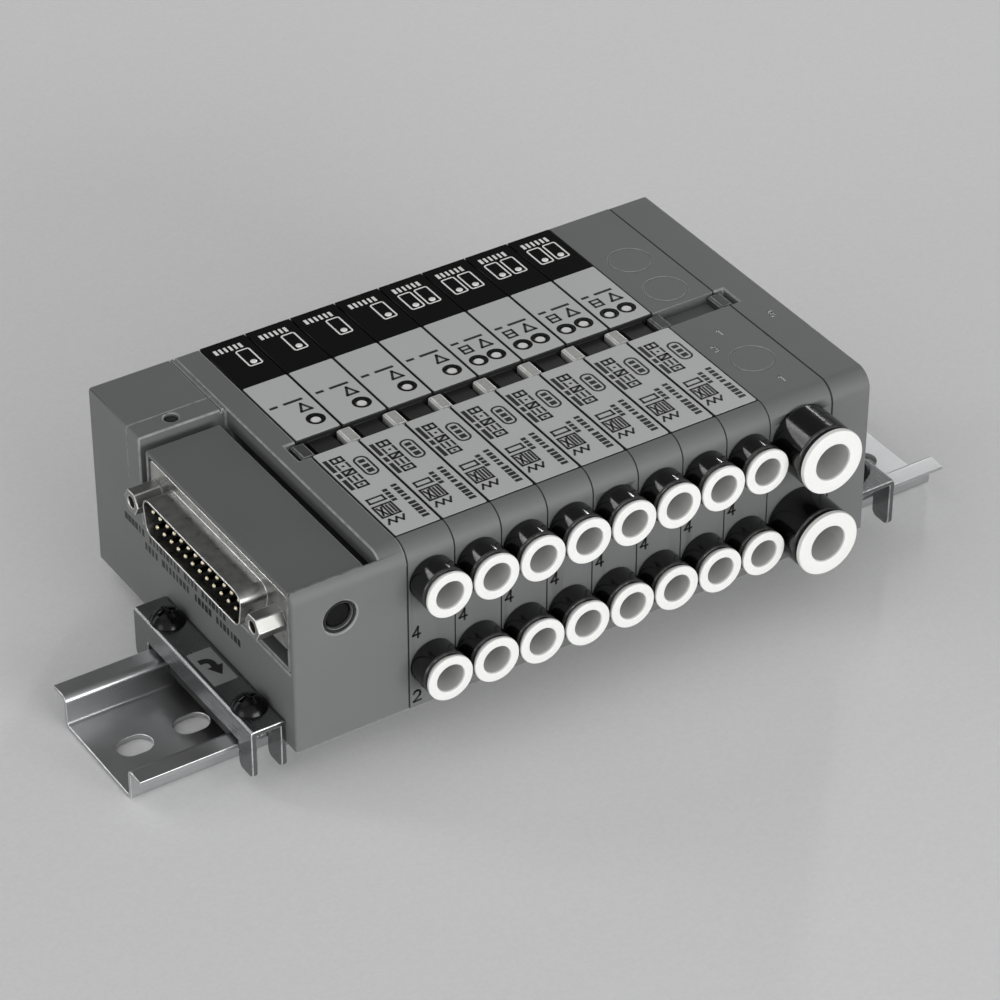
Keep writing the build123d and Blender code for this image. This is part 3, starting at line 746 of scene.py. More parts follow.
class GeometryTree:
    """A Geometry Nodes tree with named inputs, which ends in Realize Instances and Set Material."""

    KINDS = {int: "NodeSocketInt", float: "NodeSocketFloat", Vector: "NodeSocketVector"}

    def __init__(self, name: str, **inputs: type) -> None:
        """Makes the tree's interface.

        Args:
            name: Name of the tree.
            **inputs: Names of its inputs and their types.
        """
        self.tree = bpy.data.node_groups.new(name, "GeometryNodeTree")
        faces = self.tree.interface
        faces.new_socket("Geometry", in_out="INPUT", socket_type="NodeSocketGeometry")
        self.idents = {}
        for label, kind in inputs.items():
            made = faces.new_socket(label, in_out="INPUT", socket_type=self.KINDS[kind])
            self.idents[label] = made.identifier
        made = faces.new_socket("Material", in_out="INPUT", socket_type="NodeSocketMaterial")
        self.idents["Material"] = made.identifier
        faces.new_socket("Geometry", in_out="OUTPUT", socket_type="NodeSocketGeometry")
        self.entry = self.tree.nodes.new("NodeGroupInput").outputs

    def node(self, kind: str, inputs: dict | None = None, **settings: str) -> Node:
        """Adds a node to the tree."""
        return add_node(self.tree, kind, inputs, **settings)

    def math(self, operation: str, *values: float | Socket) -> Socket:
        """Result of a sum on numbers or sockets."""
        return self.node("ShaderNodeMath", dict(enumerate(values)), operation=operation).outputs[0]

    def copies(self, points: Socket, piece: Socket, **more: Socket) -> Socket:
        """Instances of a piece on points."""
        inputs = {"Points": points, "Instance": piece, **more}
        return self.node("GeometryNodeInstanceOnPoints", inputs).outputs[0]

    def line(self, count: Socket, step: Socket) -> Socket:
        """Points in a row from the origin."""
        return self.node("GeometryNodeMeshLine", {"Count": count, "Offset": step}).outputs[0]

    def grid(self, piece: Socket) -> "GeometryTree":
        """Ends the tree with copies of a piece in columns and rows.

        Args:
            piece: The piece.

        Returns:
            The tree, ready to run.
        """
        entry = self.entry
        row = self.copies(self.line(entry["Columns"], entry["Column_step"]), piece)
        return self.close(self.copies(self.line(entry["Rows"], entry["Row_step"]), row))

    def close(self, geometry: Socket) -> "GeometryTree":
        """Ends the tree.

        Args:
            geometry: What the tree has made.

        Returns:
            The tree, ready to run.
        """
        real = self.node("GeometryNodeRealizeInstances", {0: geometry}).outputs[0]
        painted = self.node("GeometryNodeSetMaterial", {0: real, "Material": self.entry["Material"]})
        self.node("NodeGroupOutput", {0: painted.outputs[0]})
        return self

    def run(self, mesh: Mesh, finish: Finish, plane: Matrix | None = None, **values: float | Vector) -> Mesh:
        """Runs the tree on a mesh.

        Args:
            mesh: The mesh that goes in.
            finish: The finish of the result.
            plane: Where the result goes in the frame.
            **values: The tree's inputs by name.

        Returns:
            A plain mesh in the frame.
        """

        def dress(scratch: Object) -> None:
            """Adds the tree with its inputs set by identifier.

            Args:
                scratch: The object that carries it.
            """
            modifier = scratch.modifiers.new("tree", "NODES")
            modifier.node_group = self.tree
            for label, value in {**values, "Material": finish.build()}.items():
                modifier[self.idents[label]] = value[:] if isinstance(value, Vector) else value

        result = evaluated(mesh, dress)
        if plane:
            result.transform(plane)
        return result


def rows_tree() -> GeometryTree:
    """Repeats the incoming piece in columns and rows."""
    made = GeometryTree("rows_of_copies", Columns=int, Column_step=Vector, Rows=int, Row_step=Vector)
    return made.grid(made.entry["Geometry"])


def frame_tree() -> GeometryTree:
    """Rounded outlines of a line's width, in a row.

    Returns:
        The tree, ready to run.
    """
    made = GeometryTree(
        "rounded_outlines", Width=float, Length=float, Corner=float, Line=float, Gauge=float,
        Count=int, Step=Vector,
    )
    entry = made.entry
    rectangle = "GeometryNodeCurvePrimitiveQuadrilateral"
    path, profile = (
        made.node(rectangle, {"Width": entry[a], "Height": entry[b]}).outputs[0]
        for a, b in (("Width", "Length"), ("Line", "Gauge"))
    )
    bend = {0: path, "Count": 5, "Radius": entry["Corner"]}
    bent = made.node("GeometryNodeFilletCurve", bend, mode="POLY").outputs[0]
    body = made.node("GeometryNodeCurveToMesh", {"Curve": bent, "Profile Curve": profile}).outputs[0]
    return made.close(made.copies(made.line(entry["Count"], entry["Step"]), body))


def bars_tree() -> GeometryTree:
    """A line of short printed bars of uneven length that stands for a word.

    Returns:
        The tree, ready to run.
    """
    made = GeometryTree(
        "greeked_bars", Count=int, Step=Vector, Least=float, Most=float, Tall=float, Gauge=float, Seed=int
    )
    entry = made.entry
    bar = made.node("GeometryNodeMeshCube", {"Size": (1.0, 1.0, 1.0)}).outputs[0]
    between = {2: entry["Least"], 3: entry["Most"], "Seed": entry["Seed"]}
    length = made.node("FunctionNodeRandomValue", between)
    size = made.node("ShaderNodeCombineXYZ", {0: length.outputs[1], 1: entry["Tall"], 2: entry["Gauge"]})
    points = made.line(entry["Count"], entry["Step"])
    return made.close(made.copies(points, bar, Scale=size.outputs[0]))


def pins_tree() -> GeometryTree:
    """The plug's two rows of pins: a wide row over a narrow one, both about the middle.

    Returns:
        The tree, ready to run.
    """
    made = GeometryTree("plug_pin_rows", Wide=int, Narrow=int, Pitch=float, Row_gap=float)
    entry = made.entry
    rows = []
    for side, count in ((0.5, entry["Wide"]), (-0.5, entry["Narrow"])):
        spans = made.math("SUBTRACT", count, 1.0)
        left = made.math("MULTIPLY", made.math("MULTIPLY", spans, entry["Pitch"]), -0.5)
        up = made.math("MULTIPLY", entry["Row_gap"], side)
        start = made.node("ShaderNodeCombineXYZ", {0: left, 1: up}).outputs[0]
        step = made.node("ShaderNodeCombineXYZ", {0: entry["Pitch"]}).outputs[0]
        line = made.node("GeometryNodeMeshLine", {"Count": count, "Start Location": start, "Offset": step})
        rows.append(line.outputs[0])
    both = made.node("GeometryNodeJoinGeometry").inputs[0]
    for row in reversed(rows):
        made.tree.links.new(row, both)
    return made.close(made.copies(both.node.outputs[0], entry["Geometry"]))


def teeth_tree() -> GeometryTree:
    """Teeth in a ring that lean in towards its axis, in columns and rows.

    Returns:
        The tree, ready to run.
    """
    made = GeometryTree(
        "grab_ring_teeth", Teeth=int, Radius=float, Columns=int, Column_step=Vector, Rows=int, Row_step=Vector
    )
    entry = made.entry
    spots = made.node("GeometryNodeMeshCircle", {"Vertices": entry["Teeth"], "Radius": entry["Radius"]})
    index = made.node("GeometryNodeInputIndex").outputs[0]
    turn = made.math("DIVIDE", made.math("MULTIPLY", index, 2 * math.pi), entry["Teeth"])
    angle = made.node("ShaderNodeCombineXYZ", {2: turn}).outputs[0]
    ring = made.copies(spots.outputs[0], entry["Geometry"], Rotation=angle)
    return made.grid(ring)


def in_row(count: int, step: Vector) -> dict[str, int | Vector]:
    """Inputs of the tree of rows for a single row of copies."""
    return {"Columns": count, "Column_step": step, "Rows": 1, "Row_step": Vector((0, 0, 0))}


def joined(meshes: list[Mesh], name: str) -> Mesh:
    """One mesh made of several.

    Args:
        meshes: The meshes.
        name: Name of the new one.

    Returns:
        The new mesh.
    """
    work = bmesh.new()
    for mesh in meshes:
        work.from_mesh(mesh)
    result = bpy.data.meshes.new(name)
    work.to_mesh(result)
    work.free()
    return result


# Strokes of the digits, as paths in a box of width and height 1
DIGITS = {
    "1": [[(0.2, 0.78), (0.52, 1.0), (0.52, 0.0)]],
    "2": [[
        (0.04, 0.76), (0.22, 0.95), (0.5, 1.0), (0.8, 0.93),
        (0.93, 0.73), (0.84, 0.5), (0.04, 0.0), (0.96, 0.0),
    ]],
    "3": [[(0.08, 0.95), (0.6, 1.0), (0.9, 0.78), (0.5, 0.54), (0.93, 0.28), (0.6, 0.0), (0.05, 0.06)]],
    "4": [[(0.72, 0.0), (0.72, 1.0), (0.04, 0.3), (1.0, 0.3)]],
    "5": [[(0.88, 1.0), (0.16, 1.0), (0.1, 0.56), (0.62, 0.62), (0.92, 0.32), (0.6, 0.0), (0.05, 0.05)]],
}


def numeral(text: str, tall: float, plane: Matrix, gauge: float) -> Mesh:
    """A plain digit drawn with a round-cornered pen, as a thin solid.

    Args:
        text: The digit.
        tall: Its height, in metres.
        plane: Where it stands, centred.
        gauge: Its thickness.

    Returns:
        The mesh in the frame.
    """
    wide, pen = 0.66 * tall, 0.17 * tall
    shape = Shape()
    for path in DIGITS[text]:
        points = [((u - 0.5) * wide, (v - 0.5) * tall) for u, v in path]
        for a, b in zip(points, points[1:]):
            shape.prism(stroke(a, b, pen), plane, gauge)
    return shape.mesh("digit_" + text)


def show_joined(name: str, meshes: list[Mesh], finish: Finish, smooth: float = 35.0) -> None:
    """Shows several meshes as one fixed piece of that name and finish, as show does."""
    show(name, joined(meshes, name), finish, smooth=smooth)


def greeked(
    bars: GeometryTree, finish: Finish, plane: Matrix, count: int, sizes_mm: tuple[float, ...], seed: int
) -> Mesh:
    """Bars that stand for one word.

    Args:
        bars: Tree of greeked bars.
        finish: Its ink.
        plane: Where it starts.
        count: Number of bars.
        sizes_mm: Their step, least and most length, height and thickness.
        seed: Seed of their lengths.

    Returns:
        The mesh in the frame.
    """
    step, least, most, tall, gauge = (size * MM for size in sizes_mm)
    sizes = {"Step": Vector((step, 0, 0)), "Least": least, "Most": most, "Tall": tall, "Gauge": gauge}
    return bars.run(bpy.data.meshes.new("bars"), finish, plane, Count=count, Seed=seed, **sizes)


def middle(node: str) -> Vector:
    """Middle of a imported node's box."""
    low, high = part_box(node)
    return (low + high) / 2


def step_between(first: str, second: str) -> Vector:
    """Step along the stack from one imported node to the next."""
    return Vector((middle(second).x - middle(first).x, 0, 0))


@dataclass
class SoftNode:
    """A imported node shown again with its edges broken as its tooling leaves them."""

    node: str
    slot: Slot
    edge_mm: float
    segments: int = 2
    covered: tuple[tuple[Vector, float], ...] = ()
    seams: tuple[float, ...] = ()

    def build(self) -> None:
        """Makes the piece in place of the node."""
        body = frame["nodes"][self.node]["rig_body"]
        mesh = softened(self.node, self.edge_mm * MM, self.segments, self.covered, self.seams)
        piece = show(self.node + "_body", mesh, SLOT_FINISH[self.slot], body, smooth=0)
        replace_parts(piece, self.node)


@dataclass
class BlockStack:
    """The wiring, manifold, supply and end blocks with the valves and their clips."""

    stations: int = 8
    block_edge_mm: float = 0.35
    seam_edge_mm: float = 0.1
    valve_edge_mm: float = 0.15
    window_edge_mm: float = 0.05
    clip_edge_mm: float = 0.15
    small_collar_mm: float = 5.2
    large_collar_mm: float = 7.4

    def build(self) -> None:
        """Shows each block and valve with broken edges."""
        small = [middle(f"release_ring_{i + 1}{row}") for i in range(self.stations) for row in "ab"]
        large = [middle("release_ring_supply"), middle("release_ring_exhaust")]
        seats = tuple((place, self.small_collar_mm * MM) for place in small)
        wide_seats = tuple((place, self.large_collar_mm * MM) for place in large)
        first, last = (corner.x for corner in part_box("manifold_blocks"))
        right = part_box("supply_block")[1].x
        pitch = (last - first) / self.stations
        # Seams where blocks meet, whose edges are painted dark as painted shade and dirt
        seams = tuple(first + i * pitch for i in range(self.stations + 1))
        SoftNode("wiring_block", Slot.BLOCK, self.block_edge_mm, seams=seams[:1]).build()
        SoftNode("end_block", Slot.BLOCK, self.block_edge_mm, seams=(right,)).build()
        SoftNode("manifold_blocks", Slot.BLOCK, self.seam_edge_mm, 1, seats, seams).build()
        SoftNode("supply_block", Slot.BLOCK, self.seam_edge_mm, 1, wide_seats, (last, right)).build()
        for i in range(self.stations):
            SoftNode(f"valve_{i + 1}", Slot.VALVE, self.valve_edge_mm).build()
        SoftNode("indicator_windows", Slot.WINDOW, self.window_edge_mm, 1).build()
        SoftNode("valve_joint_clips", Slot.CLIP_WHITE, self.clip_edge_mm).build()
        SoftNode("end_joint_clips", Slot.CLIP_GREY, self.clip_edge_mm).build()


@dataclass
class StationPrint:
    """The printed films on the valves, with generic marks in place of any text.

    Places are from a station's middle and from the front.
    """

    film_gauge_mm: float = 0.08
    ink_gauge_mm: float = 0.03
    ink_sink_mm: float = 0.01
    film_mm: Pair = (4.6, 35.2)
    cover_mm: Pair = (41.4, 62.3)
    film_width_mm: float = 9.85
    corner_mm: float = 0.3
    override_mm: Pair = (2.1, 45.9)
    override_hole_mm: float = 2.02
    bar_column_mm: tuple[tuple[float, ...], ...] = (
        (-4.05, 21.8, -4.05, 24.6), (-4.05, 26.2, -4.05, 26.9), (-4.05, 28.5, -4.05, 32.0),
    )
    bar_pen_mm: float = 0.9
    glyph_centre_mm: float = -1.75
    glyph_first_mm: float = 22.2
    glyph_step_mm: float = 2.3
    glyph_size_mm: Pair = (2.3, 1.5)
    glyph_pen_mm: float = 0.5
    glyph_dot_mm: float = 0.05
    glyph_count: int = 5
    symbol_pen_mm: float = 0.46
    dashes_mm: tuple[tuple[float, ...], ...] = ((-0.6, 53.3, 3.0, 53.3), (-3.7, 53.3, -2.6, 53.3))
    dash_pen_mm: float = 0.7
    pointer_mm: tuple[tuple[float, ...], ...] = (
        (0.9, 49.3, 2.1, 51.9), (2.1, 51.9, 3.3, 49.3), (0.9, 49.3, 3.3, 49.3),
    )
    pointer_pen_mm: float = 0.55
    box_mm: tuple[float, ...] = (-3.2, 49.2, -1.2, 51.6)
    box_pen_mm: float = 0.5
    pill_mm: tuple[float, ...] = (2.15, 27.0, 2.7, 6.4)
    pill_line_mm: float = 0.45
    # Each word's place, its number of bars, and their step, least and most length and height
    words_mm: tuple[tuple[float, float, int, float, float, float, float], ...] = (
        (2.15, 25.3, 3, 1.7, 1.0, 1.35, 1.4), (3.3, 7.2, 5, 1.2, 0.75, 1.0, 1.6),
        (3.2, 13.6, 5, 1.25, 0.7, 1.0, 1.3), (0.9, 14.6, 4, 1.15, 0.6, 0.95, 1.1),
    )
    singles: int = 4
    stations: int = 8
    seed: int = 7

    def build(self, rows: GeometryTree, frames: GeometryTree, bars: GeometryTree) -> None:
        """Makes films, then inks them.

        Args:
            rows: Tree that repeats a piece.
            frames: Tree of rounded outlines.
            bars: Tree of greeked bars.
        """
        self.rows = rows
        self.step = step_between("valve_1", "valve_2")
        low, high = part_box("supply_block")
        self.corner = Vector((middle("valve_1").x, low.y, high.z))
        every, doubles = range(self.stations), range(self.singles, self.stations)
        self.films("station_films", self.film_mm, (), every)
        self.films("single_cover_films", self.cover_mm, (1,), range(self.singles))
        self.films("double_cover_films", self.cover_mm, (-1, 1), doubles)
        box = self.strokes(self.box_strokes(*self.box_mm, True), self.box_pen_mm)
        for name, shape, span in (
            ("station_bars", self.strokes(self.bar_column_mm, self.bar_pen_mm), every),
            ("station_glyphs", self.glyph_column(), every),
            ("station_symbols", self.symbol(), every),
            ("cover_marks", self.cover_marks(), every),
            ("double_cover_marks", box, doubles),
        ):
            self.repeat(name, shape, INK, span, self.film_gauge_mm)
        self.words(bars)
        u, v, width, length = (value * MM for value in self.pill_mm)
        plane = plane_at(self.corner.x + u, self.corner.y + v, self.corner.z + self.film_gauge_mm * MM)
        sizes = {"Width": width, "Length": length, "Corner": width * 0.45, "Line": self.pill_line_mm * MM}
        sizes |= {"Gauge": self.ink_gauge_mm * MM, "Count": self.stations, "Step": self.step}
        show("station_outlines", frames.run(bpy.data.meshes.new("boxes"), INK, plane, **sizes), INK)

    def repeat(self, name: str, shape: Shape, finish: Finish, span: range, up_mm: float) -> None:
        """Repeats a flat shape, drawn from a station's middle and front, over stations.

        Args:
            name: Name of the piece.
            shape: The shape.
            finish: Its surface.
            span: Indexes of the stations.
            up_mm: Height above the valves' tops.
        """
        plane = Matrix.Translation(self.corner + span.start * self.step + Vector((0, 0, up_mm * MM)))
        show(name, self.rows.run(shape.mesh(name), finish, plane, **in_row(len(span), self.step)), finish)

    def films(self, name: str, reach_mm: Pair, sides: tuple[int, ...], span: range) -> None:
        """A film on each of some stations, with a hole for each override.

        Args:
            name: Name of the piece.
            reach_mm: Where it starts and ends.
            sides: -1 or 1 for a hole left or right of the middle.
            span: Indexes of the stations.
        """
        near, far = reach_mm
        across, away = self.override_mm
        rim = rounded(self.film_width_mm * MM, (far - near) * MM, self.corner_mm * MM)
        rim = [(u, v + (near + far) / 2 * MM) for u, v in rim]
        holes = [circle(side * across * MM, away * MM, self.override_hole_mm * MM) for side in sides]
        film = Shape().plate(rim, holes, Matrix.Identity(4), self.film_gauge_mm * MM)
        self.repeat(name, film, LABEL, span, 0.0)

    def words(self, bars: GeometryTree) -> None:
        """Small greeked words: in the pill, and two lines beside the symbol.

        Args:
            bars: Tree of greeked bars.
        """
        lines = []
        for line, (u, v, count, *sizes) in enumerate(self.words_mm):
            for i in range(self.stations):
                place = self.corner + i * self.step + Vector((u, v, self.film_gauge_mm)) * MM
                plane = Matrix.Translation(place) @ Matrix.Rotation(math.pi / 2, 4, "Z")
                lines.append(greeked(bars, INK, plane, count, (*sizes, self.ink_gauge_mm), self.seed + line))
        show_joined("station_words", lines, INK)

    def strokes(self, pairs: list[tuple[float, ...]], width_mm: float, shape: Shape | None = None) -> Shape:
        """Draws straight strokes.

        Args:
            pairs: Both ends of each, in millimetres.
            width_mm: Width of the pen.
            shape: The shape that gets them, or none for a new one.

        Returns:
            The shape.
        """
        shape = shape or Shape()
        plane = Matrix.Translation((0, 0, -self.ink_sink_mm * MM))
        for u0, v0, u1, v1 in pairs:
            outline = stroke((u0 * MM, v0 * MM), (u1 * MM, v1 * MM), width_mm * MM)
            shape.prism(outline, plane, self.ink_gauge_mm * MM)
        return shape

    def box_strokes(self, left: float, near: float, right: float, far: float, bar: bool = False) -> list[Four]:
        """Four strokes of a box, and one across its middle if it has a bar."""
        box = [(left, y, right, y) for y in (near, far)] + [(x, near, x, far) for x in (left, right)]
        return [*box, (left, (near + far) / 2, right, (near + far) / 2)] if bar else box

    def glyph_column(self) -> Shape:
        """Blocky marks in a column, made of a few strokes in no alphabet.

        Returns:
            The shape.
        """
        shape = Shape()
        tall, wide = self.glyph_size_mm
        centre = self.glyph_centre_mm
        left, right = centre - tall / 2, centre + tall / 2
        for kind in range(self.glyph_count):
            near = self.glyph_first_mm + kind * self.glyph_step_mm - wide / 2
            far, mid = near + wide, near + wide / 2
            box = self.box_strokes(left, near, right, far)
            dot = (centre - self.glyph_dot_mm, mid, centre + self.glyph_dot_mm, mid)
            post = (centre, near, centre, far)
            slant = (left, near, right, far)
            kinds = ([*box, dot], [box[2], post, box[3]], [*box, slant], [*box[2:], dot], [*box, post])
            self.strokes(kinds[kind], self.glyph_pen_mm, shape)
        return shape

    def symbol(self) -> Shape:
        """Generic two-position valve symbol: two boxes with flow arrows, a coil and a spring.

        Returns:
            The shape.
        """
        left, mid, right, near, far = -4.1, -2.1, -0.1, 10.6, 14.4
        foot, head, low, high = near + 0.6, far - 0.7, 15.6, 17.1
        pairs = [(left, near, right, near), (left, far, right, far)]
        pairs += [(side, near, side, far) for side in (left, mid, right)]
        pairs += [(left + 0.55, foot, mid - 0.5, head), (left + 0.5, head, mid - 0.55, foot)]
        pairs += [(side, foot, side, far - 0.6) for side in (mid + 0.65, right - 0.6)]
        pairs += [(left + 0.2, low, right - 0.2, low), (left + 0.3, high, right - 0.3, high)]
        pairs += [(side, low, side, high) for side in (left + 0.3, right - 0.3)]
        turns = [(left + 0.8 * i, 9.6 if i % 2 else 8.2) for i in range(6)]
        pairs += [(*a, *b) for a, b in zip(turns, turns[1:])]
        return self.strokes(pairs, self.symbol_pen_mm)

    def cover_marks(self) -> Shape:
        """Line, dash and small pointer behind each override."""
        shape = self.strokes(self.dashes_mm, self.dash_pen_mm)
        return self.strokes(self.pointer_mm, self.pointer_pen_mm, shape)


@dataclass
class IndicatorStrip:
    """White outlines, lamps and greeked words on the black windows."""

    gauge_mm: float = 0.03
    width_mm: float = 2.95
    length_mm: float = 6.0
    corner_mm: float = 0.45
    line_mm: float = 0.36
    depth_mm: float = 71.7
    single_offset_mm: float = 1.9
    double_offsets_mm: Pair = (-2.0, 1.9)
    lamp_radius_mm: float = 0.72
    lamp_dome_mm: float = 0.16
    lamp_foot_mm: float = 0.03
    lamp_depth_mm: float = 69.9
    word_mm: Pair = (-3.1, 76.4)
    word_lean: float = 0.35
    word_bars: int = 6
    # Step, least and most length, and height of a word's bars
    bar_mm: tuple[float, ...] = (1.12, 0.5, 0.9, 1.7)
    singles: int = 4
    stations: int = 8
    seed: int = 31

    def build(self, rows: GeometryTree, frames: GeometryTree, bars: GeometryTree) -> None:
        """Makes the outlines, the lamps and the words.

        Args:
            rows: Tree that repeats a piece.
            frames: Tree of rounded outlines.
            bars: Tree of greeked bars.
        """
        step = step_between("valve_1", "valve_2")
        corner = Vector((middle("valve_1").x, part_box("supply_block")[0].y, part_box("indicator_windows")[1].z))
        runs = [(0, self.singles, self.single_offset_mm)]
        runs += [(self.singles, self.stations - self.singles, offset) for offset in self.double_offsets_mm]
        sizes = {"Width": self.width_mm * MM, "Length": self.length_mm * MM, "Corner": self.corner_mm * MM}
        sizes |= {"Line": self.line_mm * MM, "Gauge": self.gauge_mm * MM}
        outlines, lamps = [], []
        lamp = self.lamp().mesh("lamp")
        for first, count, offset in runs:
            frame_plane, lamp_plane = (
                Matrix.Translation(corner + first * step + Vector((offset, depth, 0)) * MM)
                for depth in (self.depth_mm, self.lamp_depth_mm)
            )
            blank = bpy.data.meshes.new("frames")
            outlines.append(frames.run(blank, INK_WHITE, frame_plane, **sizes, Count=count, Step=step))
            lamps.append(rows.run(lamp, LENS, lamp_plane, **in_row(count, step)))
        show_joined("indicator_outlines", outlines, INK_WHITE)
        show_joined("indicator_lamps", lamps, LENS)
        words = []
        for i in range(self.stations):
            plane = Matrix.Translation(corner + i * step + Vector((*self.word_mm, 0)) * MM)
            plane = plane @ Matrix.Shear("XY", 4, (self.word_lean, 0))
            sizes_mm = (*self.bar_mm, self.gauge_mm)
            words.append(greeked(bars, INK_WHITE, plane, self.word_bars, sizes_mm, self.seed))
        show_joined("indicator_words", words, INK_WHITE)

    def lamp(self) -> Shape:
        """Low dome of a lamp lens.

        Returns:
            The shape.
        """
        radius, rise = self.lamp_radius_mm * MM, self.lamp_dome_mm * MM
        foot = self.lamp_foot_mm * MM
        dome = [(radius * math.cos(a), foot + rise * math.sin(a)) for a in (0.0, 0.35, 0.7, 1.1)]
        return Shape().turned([(0.0, 0.0), (radius, 0.0), *dome, (0.0, foot + rise)], Matrix.Identity(4), 20)


@dataclass
class Overrides:
    """Manual overrides: white buttons in black bushes with a raised lip."""

    bush_edge_mm: float = 0.12
    button_edge_mm: float = 0.15

    def build(self) -> None:
        """Shows the bushes with rounded lips, and each button."""
        SoftNode("override_bushes", Slot.BUSH, self.bush_edge_mm, 3).build()
        for node in sorted(n for n in frame["nodes"] if n.startswith("override_") and n != "override_bushes"):
            SoftNode(node, Slot.BUTTON, self.button_edge_mm, 3).build()


@dataclass
class Port:
    """Sizes of one kind of tube port, in millimetres."""

    rim_mm: float
    mouth_mm: float
    teeth: int
    seal_mm: float
    collar_edge_mm: float
    grab_mm: float


@dataclass
class TubePorts:
    """Fittings, release rings, and the grab rings and seals inside them."""

    small: Port
    large: Port
    stations: int = 8
    segments: int = 72
    rounding: int = 4
    bore_skin_mm: float = 0.15
    chamfer_mm: float = 0.1
    face_slack_mm: float = 0.02
    end_slack_mm: float = 0.01
    # Thickness and start of the greyer sleeve in the bore that paints its shade
    bore_shade_mm: float = 0.05
    bore_shade_back_mm: float = 0.45
    tooth_mm: Pair = (0.55, 0.12)
    tooth_share: float = 0.36
    tooth_skin_mm: float = 0.2
    seal_depth_mm: float = 2.6
    seal_steps: int = 10
    seal_segments: int = 40
    numeral_tall_mm: float = 2.5
    numeral_gauge_mm: float = 0.06
    numeral_left_mm: float = 3.5
    numeral_drops_mm: tuple[tuple[str, str, float], ...] = (("4", "a", 11.8), ("2", "b", 7.2))

    def build(self, rows: GeometryTree, teeth: GeometryTree) -> None:
        """Makes every piece of the ports.

        Args:
            rows: Tree that repeats a piece.
            teeth: Tree of a ring of teeth.
        """
        SoftNode("small_fittings", Slot.FITTING, self.small.collar_edge_mm, 3).build()
        SoftNode("large_fittings", Slot.FITTING, self.large.collar_edge_mm, 3).build()
        for node in sorted(n for n in frame["nodes"] if n.startswith("release_ring_")):
            self.ring(node, self.large if node.endswith(("supply", "exhaust")) else self.small)
        step = step_between("release_ring_1a", "release_ring_2a")
        drop = Vector((0, 0, middle("release_ring_1b").z - middle("release_ring_1a").z))
        for label, first, port, columns, across in (
            ("small", "release_ring_1a", self.small, self.stations, step),
            ("large", "release_ring_supply", self.large, 1, Vector((0, 0, 0))),
        ):
            grid = {"Columns": columns, "Column_step": across, "Rows": 2, "Row_step": drop}
            self.inside(label, first, port, rows, teeth, grid)
        self.numbers(rows, step)

    def ring(self, node: str, port: Port) -> None:
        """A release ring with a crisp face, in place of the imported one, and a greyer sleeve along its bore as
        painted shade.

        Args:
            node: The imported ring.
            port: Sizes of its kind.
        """
        low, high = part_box(node)
        centre = (low + high) / 2
        points = [v.co for v in frame["nodes"][node].data.vertices]
        reach = [(math.hypot(p.x - centre.x, p.z - centre.z), p.y - low.y) for p in points]
        bore = min(r for r, _ in reach) - self.bore_skin_mm * MM
        flange = max(r for r, _ in reach)
        face = max(y for r, y in reach if r > flange - self.face_slack_mm * MM)
        length = high.y - low.y
        sleeve = max(r for r, y in reach if y > length - self.end_slack_mm * MM)
        rim, mouth, chamfer = port.rim_mm * MM, port.mouth_mm * MM, self.chamfer_mm * MM
        profile = [(bore, -length), (sleeve, -length), (sleeve, -face), (flange - chamfer, -face)]
        profile += [(flange, -face + chamfer)]
        quarter = [math.pi / 2 * i / self.rounding for i in range(self.rounding + 1)]
        profile += [(flange - rim + rim * math.cos(a), -rim + rim * math.sin(a)) for a in quarter]
        profile += [(bore + mouth - mouth * math.sin(a), -mouth + mouth * math.cos(a)) for a in quarter]
        # The greyer sleeve along the bore is painted shade
        start, end, skin = -self.bore_shade_back_mm * MM, -length + chamfer, self.bore_shade_mm * MM
        wall = [(bore - skin, end), (bore + skin, end), (bore + skin, start - skin), (bore - skin, start)]
        plane = plane_at(centre.x, low.y, centre.z, "-Y")
        body = frame["nodes"][node]["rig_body"]
        crisp, bore_shade_mesh = (
            Shape().turned(section, plane, self.segments).mesh(node + ending)
            for section, ending in ((profile, "_ring"), (wall, "_inner_sleeve"))
        )
        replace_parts(show(node + "_ring", crisp, RING, body), node)
        show(node + "_inner_sleeve", bore_shade_mesh, BORE_SHADE_SLEEVE, body)

    def inside(
        self, label: str, first: str, port: Port,
        rows: GeometryTree, teeth: GeometryTree, grid: dict[str, int | Vector],
    ) -> None:
        """Steel grab rings and rubber seals behind the sleeves.

        Args:
            label: Start of the pieces' names.
            first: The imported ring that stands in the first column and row.
            port: Sizes of its kind.
            rows: Tree that repeats a piece.
            teeth: Tree of a ring of teeth.
            grid: Columns, rows and their steps.
        """
        centre, back = middle(first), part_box(first)[1].y
        points = frame["nodes"][first].data.vertices
        bore = min(math.hypot(p.co.x - centre.x, p.co.z - centre.z) for p in points) - self.tooth_skin_mm * MM
        half = 2 * math.pi * bore / port.teeth * self.tooth_share
        reach, gauge = (size * MM for size in self.tooth_mm)
        blade = [(0.0, -half), (reach, -half), (reach, half), (0.0, half)]
        tooth = Shape().prism(blade, Matrix.Identity(4), gauge)
        place = Matrix.Translation((centre.x, back + port.grab_mm * MM, centre.z))
        upright = place @ Matrix.Rotation(math.pi / 2, 4, "X")
        flat = {key: Vector((step.x, step.z, 0)) for key, step in grid.items() if isinstance(step, Vector)}
        sizes = {"Teeth": port.teeth, "Radius": bore, **grid, **flat}
        ring = teeth.run(tooth.mesh("tooth"), SPRING, upright, **sizes)
        show(label + "_grab_rings", ring, SPRING)
        thick = port.seal_mm / 2 * MM
        turns = [2 * math.pi * i / self.seal_steps for i in range(self.seal_steps)]
        section = [(bore + thick * 0.8 + thick * math.cos(a), thick * math.sin(a)) for a in turns]
        plane = plane_at(centre.x, back + self.seal_depth_mm * MM, centre.z, "-Y")
        seal = Shape().turned(section, plane, self.seal_segments)
        show(label + "_seals", rows.run(seal.mesh("seal"), SEAL, **grid), SEAL)

